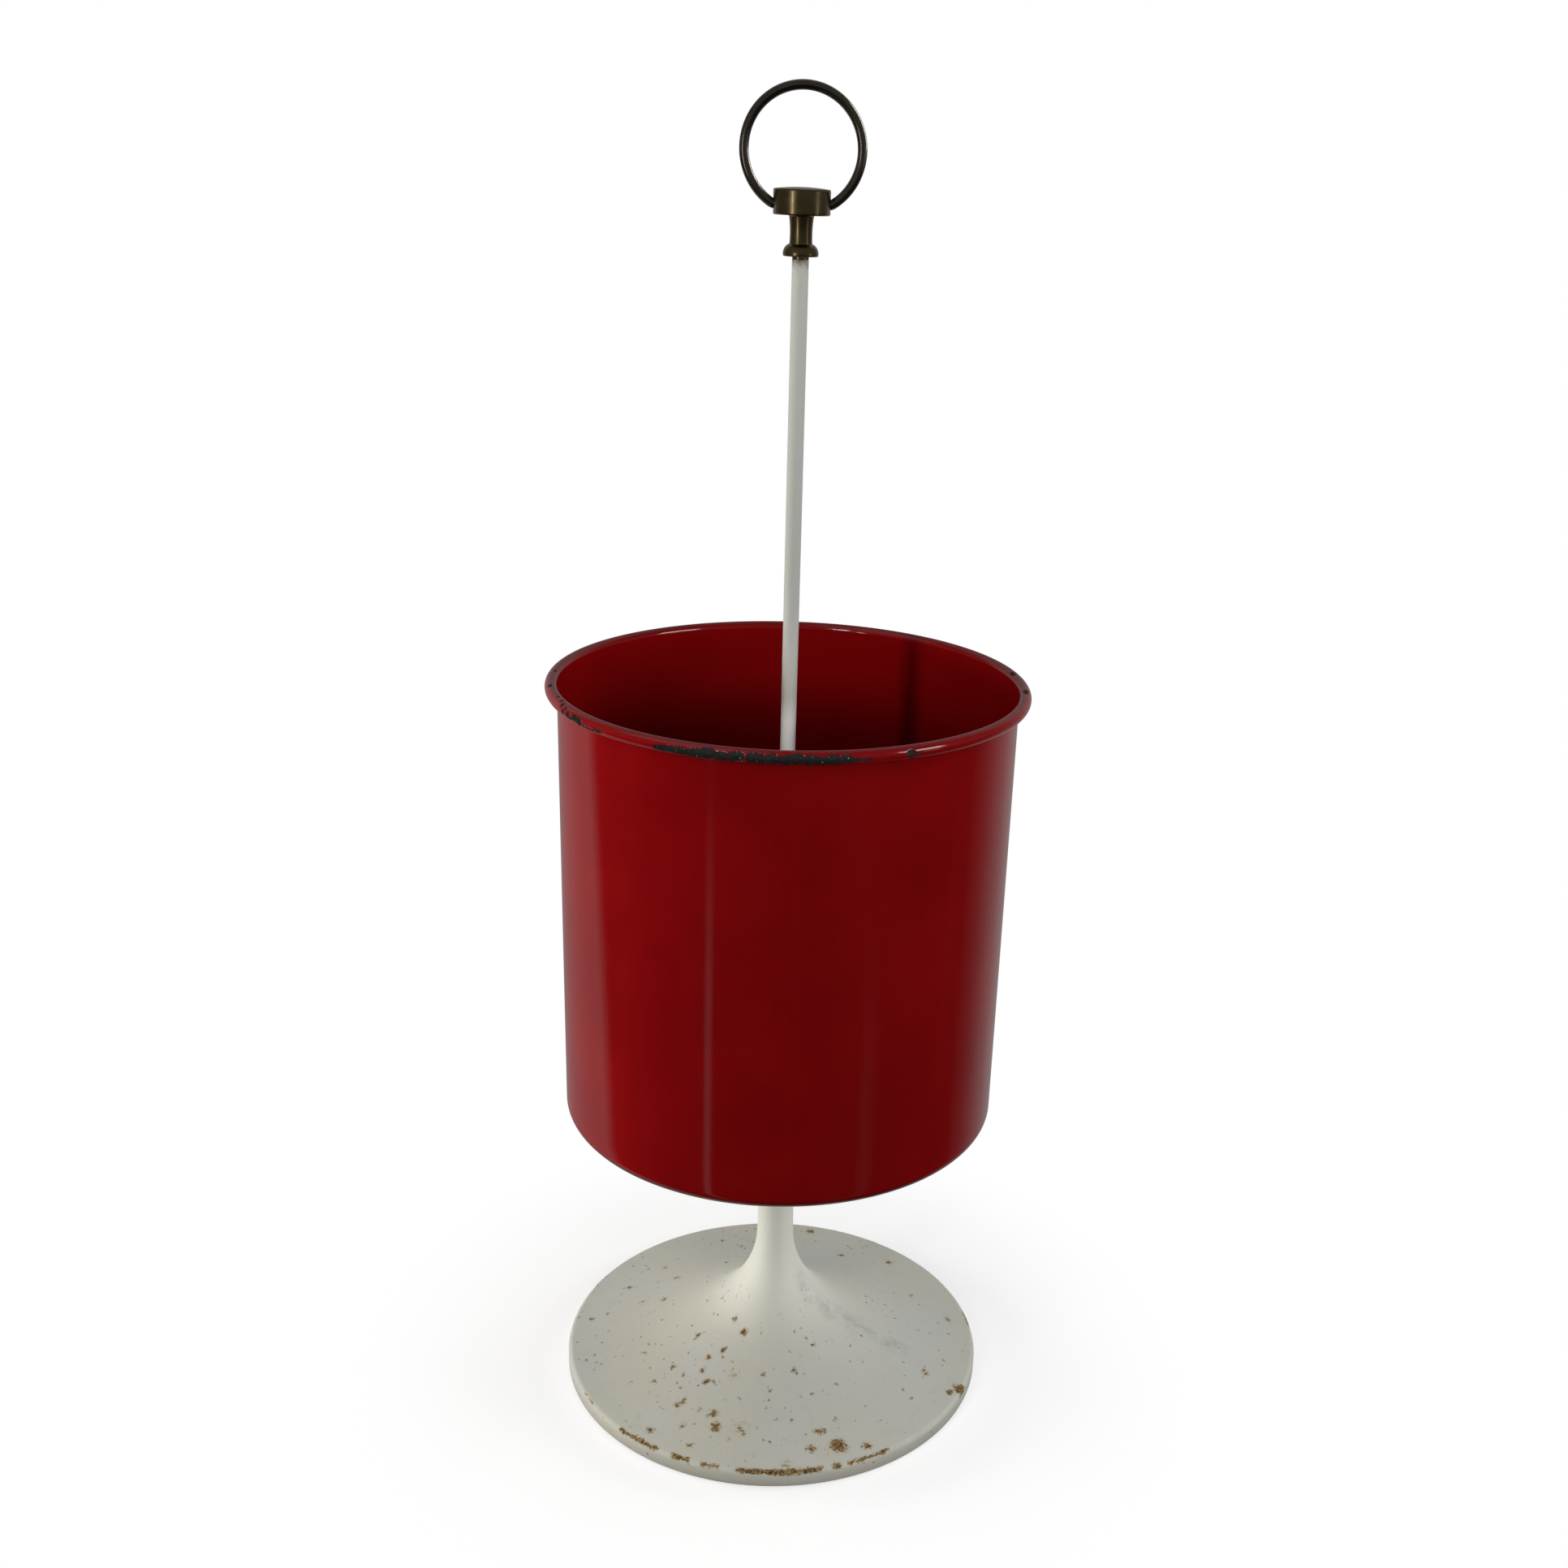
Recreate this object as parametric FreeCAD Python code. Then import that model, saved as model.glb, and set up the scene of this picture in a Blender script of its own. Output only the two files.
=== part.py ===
import FreeCAD, Part
import math
import os

# Umbrella stand: a red pail on a white tulip foot, held by one rod that ends in a brass carrying ring.
# Millimetres. +Z is up along the rod. The origin is on the floor, under the centre of the foot.
# The carrying ring stands in the XZ plane and tips about an axis parallel to X.

# Foot: one casting with a dished top, a slender neck and a hollow underside
FOOT_RADIUS = 121.5
FOOT_GAP = 1.0                 # the felt holds the casting this far off the floor
FOOT_EDGE_HEIGHT = 8.4         # top of the upright part of the edge
FOOT_EDGE_ROUND = 3.0
FOOT_LOWER_ROUND = 1.5
FOOT_WALL = 6.0
FOOT_LAND_INNER = 102.0        # inner radius of the flat ring under the edge
DISH_ROUND = 236.0             # large hollow curve of the top
FLARE_ROUND = 60.0             # tighter hollow curve that rises into the neck
DISH_OUTER_SLOPE = 7.0         # degrees below level at the crest
FLARE_OUTER_SLOPE = 26.0       # degrees below level where the two curves meet
NECK_TOP_RADIUS = 9.3
SEAT_RADIUS = 24.0
SEAT_EDGE = 2.5
SEAT_HEIGHT = 171.5
SEAT_COVE = 9.0
HUB_RADIUS = 16.0
HUB_BOTTOM = 16.0
NECK_BORE = 4.3

# Felt ring, glued in a groove under the foot
FELT_INNER = 106.0
FELT_OUTER = 117.0
FELT_THICKNESS = 2.5
FELT_CLEARANCE = 0.1

# Rod and its fasteners (M8 through the foot and pail, M6 in the finial)
ROD_RADIUS = 4.0
ROD_BOTTOM = 3.5
ROD_SHOULDER = 623.9
STUD_RADIUS = 3.0
STUD_TOP = 651.0
HEAD_THREAD_TOP = 652.0
THREAD_PITCH = 1.25
THREAD_DEPTH = 0.6
FOOT_THREAD_TOP = 22.0
FLOOR_THREAD_BOTTOM = 164.0
FLOOR_THREAD_TOP = 192.0
THREAD_CLEARANCE = 0.05
NUT_ACROSS_FLATS = 13.0
NUT_HEIGHT = 6.5
SPRING_WASHER_RADIUS = 7.4
SPRING_WASHER_THICKNESS = 2.0
SPRING_WASHER_SLIT = 1.4
WASHER_BORE = 4.2
WASHER_THICKNESS = 1.6
HUB_WASHER_RADIUS = 12.0
FLOOR_WASHER_RADIUS = 14.0

# Pail: drawn sheet with a rolled rim, between rubber rings
GASKET_RADIUS = 22.0
GASKET_THICKNESS = 2.0
SEAL_RADIUS = 16.0
SEAL_THICKNESS = 1.5
SHEET = 0.8
PAIL_RADIUS = 118.9
PAIL_CORNER = 7.0
RIM_RADIUS = 125.0
RIM_HEIGHT = 416.0             # height of the middle of the rolled rim
RIM_CURL_END = -120.0          # degrees round the curl, from outward over the top

# Finial: ferrule, neck and head, threaded one above the other on the rod's stud
FERRULE_SPIGOT = 1.3
FERRULE_HEIGHT = 5.5
FERRULE_RADIUS = 8.45
FERRULE_TOP_RADIUS = 5.75
FERRULE_LIP = 1.3
FINIAL_NECK_HEIGHT = 12.8
FINIAL_NECK_BOTTOM_RADIUS = 5.45
FINIAL_NECK_TOP_RADIUS = 5.8
FINIAL_NECK_WAIST = 0.3
FINIAL_NECK_FLARE = 1.0
HEAD_RADIUS = 13.5
HEAD_HEIGHT = 11.5
HEAD_ROUND = 0.8
HEAD_CROWN = 0.8

# Carrying ring: one bent wire whose ends turn in two blind holes across the head
RING_RADIUS = 27.5
RING_HEIGHT = 672.0            # centre of the ring
WIRE_RADIUS = 2.25
PIVOT_HEIGHT = 648.1
PIN_BEND = 5.0
PIN_INNER = 8.7
PIN_CLEARANCE = 0.06
PIN_HOLE_INNER = 8.4
PIN_MOUTH_INNER = 11.6
PIN_MOUTH_RADIUS = 3.0

AXIS = FreeCAD.Vector(0, 0, 1)
PAIL_BOTTOM = SEAT_HEIGHT + GASKET_THICKNESS
SEAL_BOTTOM = PAIL_BOTTOM + SHEET
FLOOR_WASHER_BOTTOM = SEAL_BOTTOM + SEAL_THICKNESS
FLOOR_SPRING_BOTTOM = FLOOR_WASHER_BOTTOM + WASHER_THICKNESS
FLOOR_NUT_BOTTOM = FLOOR_SPRING_BOTTOM + SPRING_WASHER_THICKNESS
HUB_WASHER_BOTTOM = HUB_BOTTOM - WASHER_THICKNESS
HUB_SPRING_BOTTOM = HUB_WASHER_BOTTOM - SPRING_WASHER_THICKNESS
HUB_NUT_BOTTOM = HUB_SPRING_BOTTOM - NUT_HEIGHT
FERRULE_BOTTOM = ROD_SHOULDER + FERRULE_SPIGOT
FINIAL_NECK_BOTTOM = FERRULE_BOTTOM + FERRULE_HEIGHT
HEAD_BOTTOM = FINIAL_NECK_BOTTOM + FINIAL_NECK_HEIGHT
HEAD_TOP = HEAD_BOTTOM + HEAD_HEIGHT
STUD_BORE = STUD_RADIUS + THREAD_CLEARANCE


def on_circle(centre, radius, degrees):
    """The point of a circle in the (radius, height) plane at an angle from outward, towards up."""
    angle = math.radians(degrees)
    return (centre[0] + radius * math.cos(angle), centre[1] + radius * math.sin(angle))


def arc(centre, radius, start, end):
    """An arc of an outline, as the mark 'arc', its middle point and its end point."""
    return ("arc", on_circle(centre, radius, (start + end) / 2), on_circle(centre, radius, end))


def as_vector(point):
    return FreeCAD.Vector(point[0], 0, point[1])


def outline_wire(start, steps):
    """A closed wire in the XZ plane. A step is a point, or an arc through a middle point to an end point."""
    edges = []
    here = start
    for step in steps + [start]:
        if step[0] == "arc":
            middle, there = step[1], step[2]
            edges.append(Part.Arc(as_vector(here), as_vector(middle), as_vector(there)).toShape())
        else:
            there = step
            if math.dist(here, there) > 1e-6:
                edges.append(Part.LineSegment(as_vector(here), as_vector(there)).toShape())
        here = there
    return Part.Wire(edges)


def turned(start, steps):
    """The solid that an outline of (radius, height) points sweeps in a full turn about the Z axis."""
    face = Part.Face(outline_wire(start, steps))
    return face.revolve(FreeCAD.Vector(0, 0, 0), AXIS, 360)


def ring_solid(inner, outer, bottom, top):
    return turned((inner, bottom), [(outer, bottom), (outer, top), (inner, top)])


def along_x(radius, start, end):
    """A cylinder on the ring's pivot axis, from one X to another."""
    base = FreeCAD.Vector(start, 0, PIVOT_HEIGHT)
    return Part.makeCylinder(radius, end - start, base, FreeCAD.Vector(1, 0, 0))


def foot_curves(depth):
    """The dish and the flare of the foot's top, moved a depth into the metal, as (centre, radius) pairs."""
    edge = (FOOT_RADIUS - FOOT_EDGE_ROUND, FOOT_EDGE_HEIGHT)
    crest = on_circle(edge, FOOT_EDGE_ROUND, 90 - DISH_OUTER_SLOPE)
    dish = on_circle(crest, DISH_ROUND, 90 - DISH_OUTER_SLOPE)
    meet = on_circle(dish, DISH_ROUND, -90 - FLARE_OUTER_SLOPE)
    flare = on_circle(meet, FLARE_ROUND, 90 - FLARE_OUTER_SLOPE)
    return (dish, DISH_ROUND + depth), (flare, FLARE_ROUND + depth)


def foot_casting():
    (dish, dish_radius), (flare, flare_radius) = foot_curves(0)
    edge_centre = (FOOT_RADIUS - FOOT_EDGE_ROUND, FOOT_EDGE_HEIGHT)
    lower_centre = (FOOT_RADIUS - FOOT_LOWER_ROUND, FOOT_GAP + FOOT_LOWER_ROUND)
    seat_bottom = SEAT_HEIGHT - SEAT_EDGE
    cove_centre = (NECK_TOP_RADIUS + SEAT_COVE, seat_bottom - SEAT_COVE)
    body = turned(
        (NECK_BORE, FOOT_GAP),
        [
            (lower_centre[0], FOOT_GAP),
            arc(lower_centre, FOOT_LOWER_ROUND, -90, 0),
            (FOOT_RADIUS, FOOT_EDGE_HEIGHT),
            arc(edge_centre, FOOT_EDGE_ROUND, 0, 90 - DISH_OUTER_SLOPE),
            arc(dish, dish_radius, -90 - DISH_OUTER_SLOPE, -90 - FLARE_OUTER_SLOPE),
            arc(flare, flare_radius, -90 - FLARE_OUTER_SLOPE, -180),
            (NECK_TOP_RADIUS, cove_centre[1]),
            arc(cove_centre, SEAT_COVE, 180, 90),
            (SEAT_RADIUS, seat_bottom),
            (SEAT_RADIUS, SEAT_HEIGHT),
            (NECK_BORE, SEAT_HEIGHT),
        ],
    )
    groove = ring_solid(FELT_INNER - FELT_CLEARANCE, FELT_OUTER + FELT_CLEARANCE, 0, FELT_THICKNESS)
    return body.cut(foot_hollow()).cut(groove)


def foot_hollow():
    """The space under the casting: between its wall and the hub, and below the hub."""
    (dish, dish_radius), (flare, flare_radius) = foot_curves(FOOT_WALL)
    land_height = dish[1] - math.sqrt(dish_radius**2 - (dish[0] - FOOT_LAND_INNER) ** 2)
    land_angle = math.degrees(math.atan2(land_height - dish[1], FOOT_LAND_INNER - dish[0]))
    hub_height = flare[1] - math.sqrt(flare_radius**2 - (flare[0] - HUB_RADIUS) ** 2)
    hub_angle = math.degrees(math.atan2(hub_height - flare[1], HUB_RADIUS - flare[0]))
    return turned(
        (0, 0),
        [
            (FOOT_LAND_INNER, 0),
            (FOOT_LAND_INNER, land_height),
            arc(dish, dish_radius, land_angle, -90 - FLARE_OUTER_SLOPE),
            arc(flare, flare_radius, -90 - FLARE_OUTER_SLOPE, hub_angle),
            (HUB_RADIUS, HUB_BOTTOM),
            (0, HUB_BOTTOM),
        ],
    )


def felt_ring():
    return ring_solid(FELT_INNER, FELT_OUTER, 0, FELT_THICKNESS)


def thread_points(bottom, top):
    """The zigzag of a thread between two heights, as rings of the thread's own depth and pitch."""
    points = []
    turns = int((top - bottom) / THREAD_PITCH)
    for turn in range(turns):
        foot = bottom + turn * THREAD_PITCH
        points.append((ROD_RADIUS - THREAD_DEPTH, foot + THREAD_PITCH / 2))
        points.append((ROD_RADIUS, foot + THREAD_PITCH))
    return points


def stem_rod():
    chamfer = THREAD_DEPTH
    foot_thread_bottom = ROD_BOTTOM + chamfer
    return turned(
        (0, ROD_BOTTOM),
        [(ROD_RADIUS - chamfer, ROD_BOTTOM), (ROD_RADIUS, foot_thread_bottom)]
        + thread_points(foot_thread_bottom, FOOT_THREAD_TOP)
        + [(ROD_RADIUS, FLOOR_THREAD_BOTTOM)]
        + thread_points(FLOOR_THREAD_BOTTOM, FLOOR_THREAD_TOP)
        + [
            (ROD_RADIUS, ROD_SHOULDER),
            (STUD_RADIUS, ROD_SHOULDER),
            (STUD_RADIUS, STUD_TOP),
            (0, STUD_TOP),
        ],
    )


def washer(outer, bottom):
    return ring_solid(WASHER_BORE, outer, bottom, bottom + WASHER_THICKNESS)


def spring_washer(bottom):
    """A split lock washer, pressed flat. Its slit is slanted across the ring."""
    ring = ring_solid(WASHER_BORE, SPRING_WASHER_RADIUS, bottom, bottom + SPRING_WASHER_THICKNESS)
    slit = Part.makeBox(
        SPRING_WASHER_RADIUS,
        SPRING_WASHER_SLIT,
        3 * SPRING_WASHER_THICKNESS,
        FreeCAD.Vector(0, -SPRING_WASHER_SLIT / 2, -1.5 * SPRING_WASHER_THICKNESS),
    )
    slit.rotate(FreeCAD.Vector(0, 0, 0), FreeCAD.Vector(1, 0, 0), 30)
    slit.translate(FreeCAD.Vector(WASHER_BORE - 1, 0, bottom + SPRING_WASHER_THICKNESS / 2))
    return ring.cut(slit)


def hex_nut(bottom):
    """A hexagon nut with both faces turned down to a chamfer at the corners."""
    corner_radius = NUT_ACROSS_FLATS / math.sqrt(3)
    corners = [
        FreeCAD.Vector(*on_circle((0, 0), corner_radius, 60 * side), bottom) for side in range(7)
    ]
    prism = Part.Face(Part.makePolygon(corners)).extrude(AXIS * NUT_HEIGHT)
    face_radius = NUT_ACROSS_FLATS / 2
    drop = (corner_radius - face_radius) * math.tan(math.radians(30))
    top = bottom + NUT_HEIGHT
    envelope = turned(
        (ROD_RADIUS + THREAD_CLEARANCE, bottom),
        [
            (face_radius, bottom),
            (corner_radius, bottom + drop),
            (corner_radius, top - drop),
            (face_radius, top),
            (ROD_RADIUS + THREAD_CLEARANCE, top),
        ],
    )
    return prism.common(envelope)


def pail():
    """Sheet of even thickness: floor, rounded corner, upright wall and a rim rolled outward."""
    inner = PAIL_RADIUS - SHEET
    corner = (PAIL_RADIUS - PAIL_CORNER, PAIL_BOTTOM + PAIL_CORNER)
    curl_outer = (RIM_RADIUS - inner) / 2
    curl_inner = curl_outer - SHEET
    curl = (RIM_RADIUS - curl_outer, RIM_HEIGHT)
    curl_end = on_circle(curl, curl_inner, RIM_CURL_END)
    return turned(
        (NECK_BORE, PAIL_BOTTOM),
        [
            (corner[0], PAIL_BOTTOM),
            arc(corner, PAIL_CORNER, -90, 0),
            (PAIL_RADIUS, RIM_HEIGHT),
            arc(curl, curl_inner, 180, 90),
            arc(curl, curl_inner, 90, RIM_CURL_END),
            on_circle(curl, curl_outer, RIM_CURL_END),
            arc(curl, curl_outer, RIM_CURL_END, 90),
            arc(curl, curl_outer, 90, 180),
            (inner, corner[1]),
            arc(corner, PAIL_CORNER - SHEET, 0, -90),
            (NECK_BORE, PAIL_BOTTOM + SHEET),
        ],
    )


def finial_ferrule():
    """A small bell, widest at its lip, with a short spigot that sits on the rod's shoulder."""
    lip_top = FERRULE_BOTTOM + FERRULE_LIP
    rise = FERRULE_HEIGHT - FERRULE_LIP
    narrowing = FERRULE_RADIUS - FERRULE_TOP_RADIUS
    bell_round = (narrowing**2 + rise**2) / (2 * narrowing)
    bell_centre = (FERRULE_RADIUS - bell_round, lip_top)
    bell_angle = math.degrees(math.asin(rise / bell_round))
    lip_round = FERRULE_LIP / 2
    lip_centre = (FERRULE_RADIUS - lip_round, FERRULE_BOTTOM + lip_round)
    return turned(
        (STUD_BORE, ROD_SHOULDER),
        [
            (ROD_RADIUS, ROD_SHOULDER),
            (ROD_RADIUS, FERRULE_BOTTOM),
            (lip_centre[0], FERRULE_BOTTOM),
            arc(lip_centre, lip_round, -90, 0),
            (FERRULE_RADIUS, lip_top),
            arc(bell_centre, bell_round, 0, bell_angle),
            (STUD_BORE, FINIAL_NECK_BOTTOM),
        ],
    )


def finial_neck():
    """A tube with a faint waist, flared out where it meets the head."""
    top = FINIAL_NECK_BOTTOM + FINIAL_NECK_HEIGHT
    flare = (FINIAL_NECK_TOP_RADIUS + FINIAL_NECK_FLARE, top - FINIAL_NECK_FLARE)
    waist = (
        (FINIAL_NECK_BOTTOM_RADIUS + FINIAL_NECK_TOP_RADIUS) / 2 - FINIAL_NECK_WAIST,
        (FINIAL_NECK_BOTTOM + flare[1]) / 2,
    )
    return turned(
        (STUD_BORE, FINIAL_NECK_BOTTOM),
        [
            (FINIAL_NECK_BOTTOM_RADIUS, FINIAL_NECK_BOTTOM),
            ("arc", waist, (FINIAL_NECK_TOP_RADIUS, flare[1])),
            arc(flare, FINIAL_NECK_FLARE, 180, 90),
            (STUD_BORE, top),
        ],
    )


def pin_hole():
    """The blind hole for the ring's end on the +X side of the head, with its flared mouth."""
    hole = along_x(WIRE_RADIUS + PIN_CLEARANCE, PIN_HOLE_INNER, HEAD_RADIUS + 1)
    mouth = Part.makeCone(
        WIRE_RADIUS + PIN_CLEARANCE,
        PIN_MOUTH_RADIUS,
        HEAD_RADIUS - PIN_MOUTH_INNER,
        FreeCAD.Vector(PIN_MOUTH_INNER, 0, PIVOT_HEIGHT),
        FreeCAD.Vector(1, 0, 0),
    )
    return hole.fuse(mouth)


def finial_head():
    """A round block with a crowned top, a blind thread from below and a pin hole in each side."""
    rim = HEAD_RADIUS - HEAD_ROUND
    crown_round = (rim**2 + HEAD_CROWN**2) / (2 * HEAD_CROWN)
    crown_centre = (0, HEAD_TOP + HEAD_CROWN - crown_round)
    crown_angle = math.degrees(math.acos(rim / crown_round))
    body = turned(
        (0, HEAD_THREAD_TOP),
        [
            (STUD_BORE, HEAD_THREAD_TOP),
            (STUD_BORE, HEAD_BOTTOM),
            (rim, HEAD_BOTTOM),
            arc((rim, HEAD_BOTTOM + HEAD_ROUND), HEAD_ROUND, -90, 0),
            (HEAD_RADIUS, HEAD_TOP - HEAD_ROUND),
            arc((rim, HEAD_TOP - HEAD_ROUND), HEAD_ROUND, 0, 90),
            arc(crown_centre, crown_round, crown_angle, 90),
        ],
    )
    seam_on_y = body.rotated(FreeCAD.Vector(0, 0, 0), AXIS, 90)
    hole = pin_hole()
    other_hole = hole.rotated(FreeCAD.Vector(0, 0, 0), AXIS, 180)
    return seam_on_y.cut(hole).cut(other_hole)


def handle_ring():
    """Round wire: a pin on the pivot axis, a short bend, the ring, and the same on the other side."""
    drop = RING_HEIGHT - PIVOT_HEIGHT - PIN_BEND
    bend_x = math.sqrt((RING_RADIUS - PIN_BEND) ** 2 - drop**2)
    bend = (bend_x, PIVOT_HEIGHT + PIN_BEND)
    centre = (0, RING_HEIGHT)
    join_angle = math.degrees(math.atan2(bend[1] - RING_HEIGHT, bend_x))
    pin_end = (PIN_INNER, PIVOT_HEIGHT)
    pin_start = (bend_x, PIVOT_HEIGHT)
    bend_middle = on_circle(bend, PIN_BEND, (join_angle - 90) / 2)
    join = on_circle(centre, RING_RADIUS, join_angle)
    side = on_circle(centre, RING_RADIUS, (join_angle + 90) / 2)
    top = on_circle(centre, RING_RADIUS, 90)
    right_half = [
        Part.LineSegment(as_vector(pin_end), as_vector(pin_start)).toShape(),
        Part.Arc(as_vector(pin_start), as_vector(bend_middle), as_vector(join)).toShape(),
        Part.Arc(as_vector(join), as_vector(side), as_vector(top)).toShape(),
    ]
    section = Part.Wire(
        Part.makeCircle(WIRE_RADIUS, as_vector(pin_end), FreeCAD.Vector(1, 0, 0))
    )
    half = Part.Wire(right_half).makePipeShell([section], True, False)
    other_half = half.mirror(FreeCAD.Vector(0, 0, 0), FreeCAD.Vector(1, 0, 0))
    return half.fuse(other_half)


PIECES = {
    "foot_casting": foot_casting(),
    "foot_felt_ring": felt_ring(),
    "stem_rod": stem_rod(),
    "hub_washer": washer(HUB_WASHER_RADIUS, HUB_WASHER_BOTTOM),
    "spring_washers": Part.makeCompound(
        [spring_washer(HUB_SPRING_BOTTOM), spring_washer(FLOOR_SPRING_BOTTOM)]
    ),
    "hex_nuts": Part.makeCompound([hex_nut(HUB_NUT_BOTTOM), hex_nut(FLOOR_NUT_BOTTOM)]),
    "seat_gasket": ring_solid(NECK_BORE, GASKET_RADIUS, SEAT_HEIGHT, PAIL_BOTTOM),
    "pail": pail(),
    "floor_seal": ring_solid(NECK_BORE, SEAL_RADIUS, SEAL_BOTTOM, FLOOR_WASHER_BOTTOM),
    "floor_washer": washer(FLOOR_WASHER_RADIUS, FLOOR_WASHER_BOTTOM),
    "finial_ferrule": finial_ferrule(),
    "finial_neck": finial_neck(),
    "finial_head": finial_head(),
    "handle_ring": handle_ring(),
}

os.makedirs("parts", exist_ok=True)
for name, shape in PIECES.items():
    if not shape.isValid():
        raise ValueError(f"{name} is not a valid shape")
    shape.exportStep(f"parts/{name}.step")
    print(f"{name}: {len(shape.Solids)} solid(s), {shape.Volume:.0f} mm3")
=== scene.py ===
"""Looks of the umbrella stand: red enamelled pail, white foot and rod, aged brass finial and carrying ring.

Metres. +Z is up along the rod, and the carrying ring stands in the XZ plane. Angles round the stand are in
degrees from the front (-Y) towards +X. Outlines are lists of (radius, height) points.
"""
import math
from functools import cache

import bpy
import numpy as np
from mathutils import Matrix, Vector, noise

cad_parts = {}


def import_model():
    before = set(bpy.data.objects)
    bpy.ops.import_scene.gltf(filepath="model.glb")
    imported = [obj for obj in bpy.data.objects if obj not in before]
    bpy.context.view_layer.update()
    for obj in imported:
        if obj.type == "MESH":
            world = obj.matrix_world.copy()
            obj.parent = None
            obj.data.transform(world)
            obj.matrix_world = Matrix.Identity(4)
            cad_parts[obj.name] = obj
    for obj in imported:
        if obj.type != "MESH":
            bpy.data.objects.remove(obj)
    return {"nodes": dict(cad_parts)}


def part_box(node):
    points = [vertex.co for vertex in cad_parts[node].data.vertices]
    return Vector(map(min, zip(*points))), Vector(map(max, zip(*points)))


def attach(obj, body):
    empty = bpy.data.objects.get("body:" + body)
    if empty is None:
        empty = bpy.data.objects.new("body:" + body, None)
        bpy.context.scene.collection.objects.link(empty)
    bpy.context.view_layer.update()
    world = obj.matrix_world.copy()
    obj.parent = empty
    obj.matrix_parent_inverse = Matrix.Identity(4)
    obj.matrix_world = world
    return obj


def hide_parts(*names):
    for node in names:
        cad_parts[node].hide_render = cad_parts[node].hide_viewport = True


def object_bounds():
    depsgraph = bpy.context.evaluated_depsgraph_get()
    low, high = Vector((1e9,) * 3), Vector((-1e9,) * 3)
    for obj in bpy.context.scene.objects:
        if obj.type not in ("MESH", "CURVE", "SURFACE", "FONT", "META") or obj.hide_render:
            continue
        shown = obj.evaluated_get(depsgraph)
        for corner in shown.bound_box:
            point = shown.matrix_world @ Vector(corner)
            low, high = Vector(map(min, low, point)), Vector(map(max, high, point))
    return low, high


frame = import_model()
cad_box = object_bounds()
scene = bpy.context.scene

MM = 0.001
CREASE = math.radians(38)

# Pail
SHEET = 0.8 * MM
PAIL_RADIUS = 118.9 * MM
PAIL_CORNER = 7 * MM
BORE = 4.3 * MM
CURL_END = -120  # degrees round the rolled rim, from outward over the top
CHIP_DEPTH = 0.28 * MM
# Painted light and shadow on the pail's inside: brighter on its upper wall, darker lower down where the
# front rim's shadow falls.
INSIDE_PAINTED_LIGHT = (365 * MM, 400 * MM)  # heights over which the pail's inside turns brighter
INSIDE_PAINTED_SHADOW = (385 * MM, 350 * MM)  # and duller

# Foot
FOOT_EDGE_HEIGHT = 8.4 * MM
FOOT_EDGE_ROUND = 3 * MM
FOOT_LOWER_ROUND = 1.5 * MM
FOOT_GAP = 1 * MM
FOOT_WALL = 6 * MM
FOOT_LAND_INNER = 102 * MM
FELT_INNER = 106 * MM
GROOVE_PLAY = 0.1 * MM
DISH_ROUND = 236 * MM
FLARE_ROUND = 60 * MM
DISH_START = -97  # degrees seen from the dish's centre at the crest of the edge
FLARE_START = -116  # and where it meets the flare
NECK_RADIUS = 9.3 * MM
SEAT_RADIUS = 24 * MM
SEAT_EDGE = 2.5 * MM
SEAT_COVE = 9 * MM
SEAT_CORNER = 0.6 * MM
FLARE_TOP_RADIUS = 16 * MM  # where the fine mesh of the foot's top ends
HUB_RADIUS = 16 * MM
HUB_BOTTOM = 16 * MM
# Painted light: the foot's neck, under the pail, is made lighter up its height for light reaching it there.
NECK_PAINTED_LIGHT = (18 * MM, 62 * MM)  # heights over which the foot turns lighter
RUST_DEPTH = 0.10 * MM
CAST_RELIEF = 0.16 * MM

# Rod
THREAD_PITCH = 1.25 * MM
THREAD_DEPTH = 0.6 * MM
STUD_RADIUS = 3 * MM
STUD_BORE = 3.05 * MM
FOOT_THREAD = (4.1 * MM, 22 * MM)
FLOOR_THREAD = (164 * MM, 192 * MM)
ROD_SHOULDER = 623.9 * MM
# Painted light: the rod is made lighter near and below the pail's rim, for light that falls on it there.
ROD_PAINTED_LIGHT = ((480 * MM, 412 * MM, 0.25), (412 * MM, 396 * MM, 0.67))  # from, to, how much lighter

# Finial and carrying ring
FERRULE_TOP_RADIUS = 5.75 * MM
FERRULE_LIP = 1.3 * MM
FERRULE_SPIGOT = 1.3 * MM
FINIAL_NECK_BOTTOM = 5.45 * MM
FINIAL_NECK_TOP = 5.8 * MM
FINIAL_NECK_WAIST = 5.32 * MM
FINIAL_NECK_FLARE = 1 * MM
HEAD_RADIUS = 13.5 * MM
HEAD_ROUND = 0.8 * MM
HEAD_CROWN = 0.8 * MM
HEAD_THREAD_TOP = 652 * MM
PIVOT_HEIGHT = 648.1 * MM
WIRE_RADIUS = 2.25 * MM
PIN_PLAY = 0.06 * MM
PIN_BEND = 5 * MM
PIN_CHAMFER = 0.4 * MM
PIN_INNER = 8.7 * MM
PIN_HOLE_INNER = 8.4 * MM
PIN_MOUTH_INNER = 11.6 * MM
PIN_MOUTH_RADIUS = 3 * MM

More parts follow.
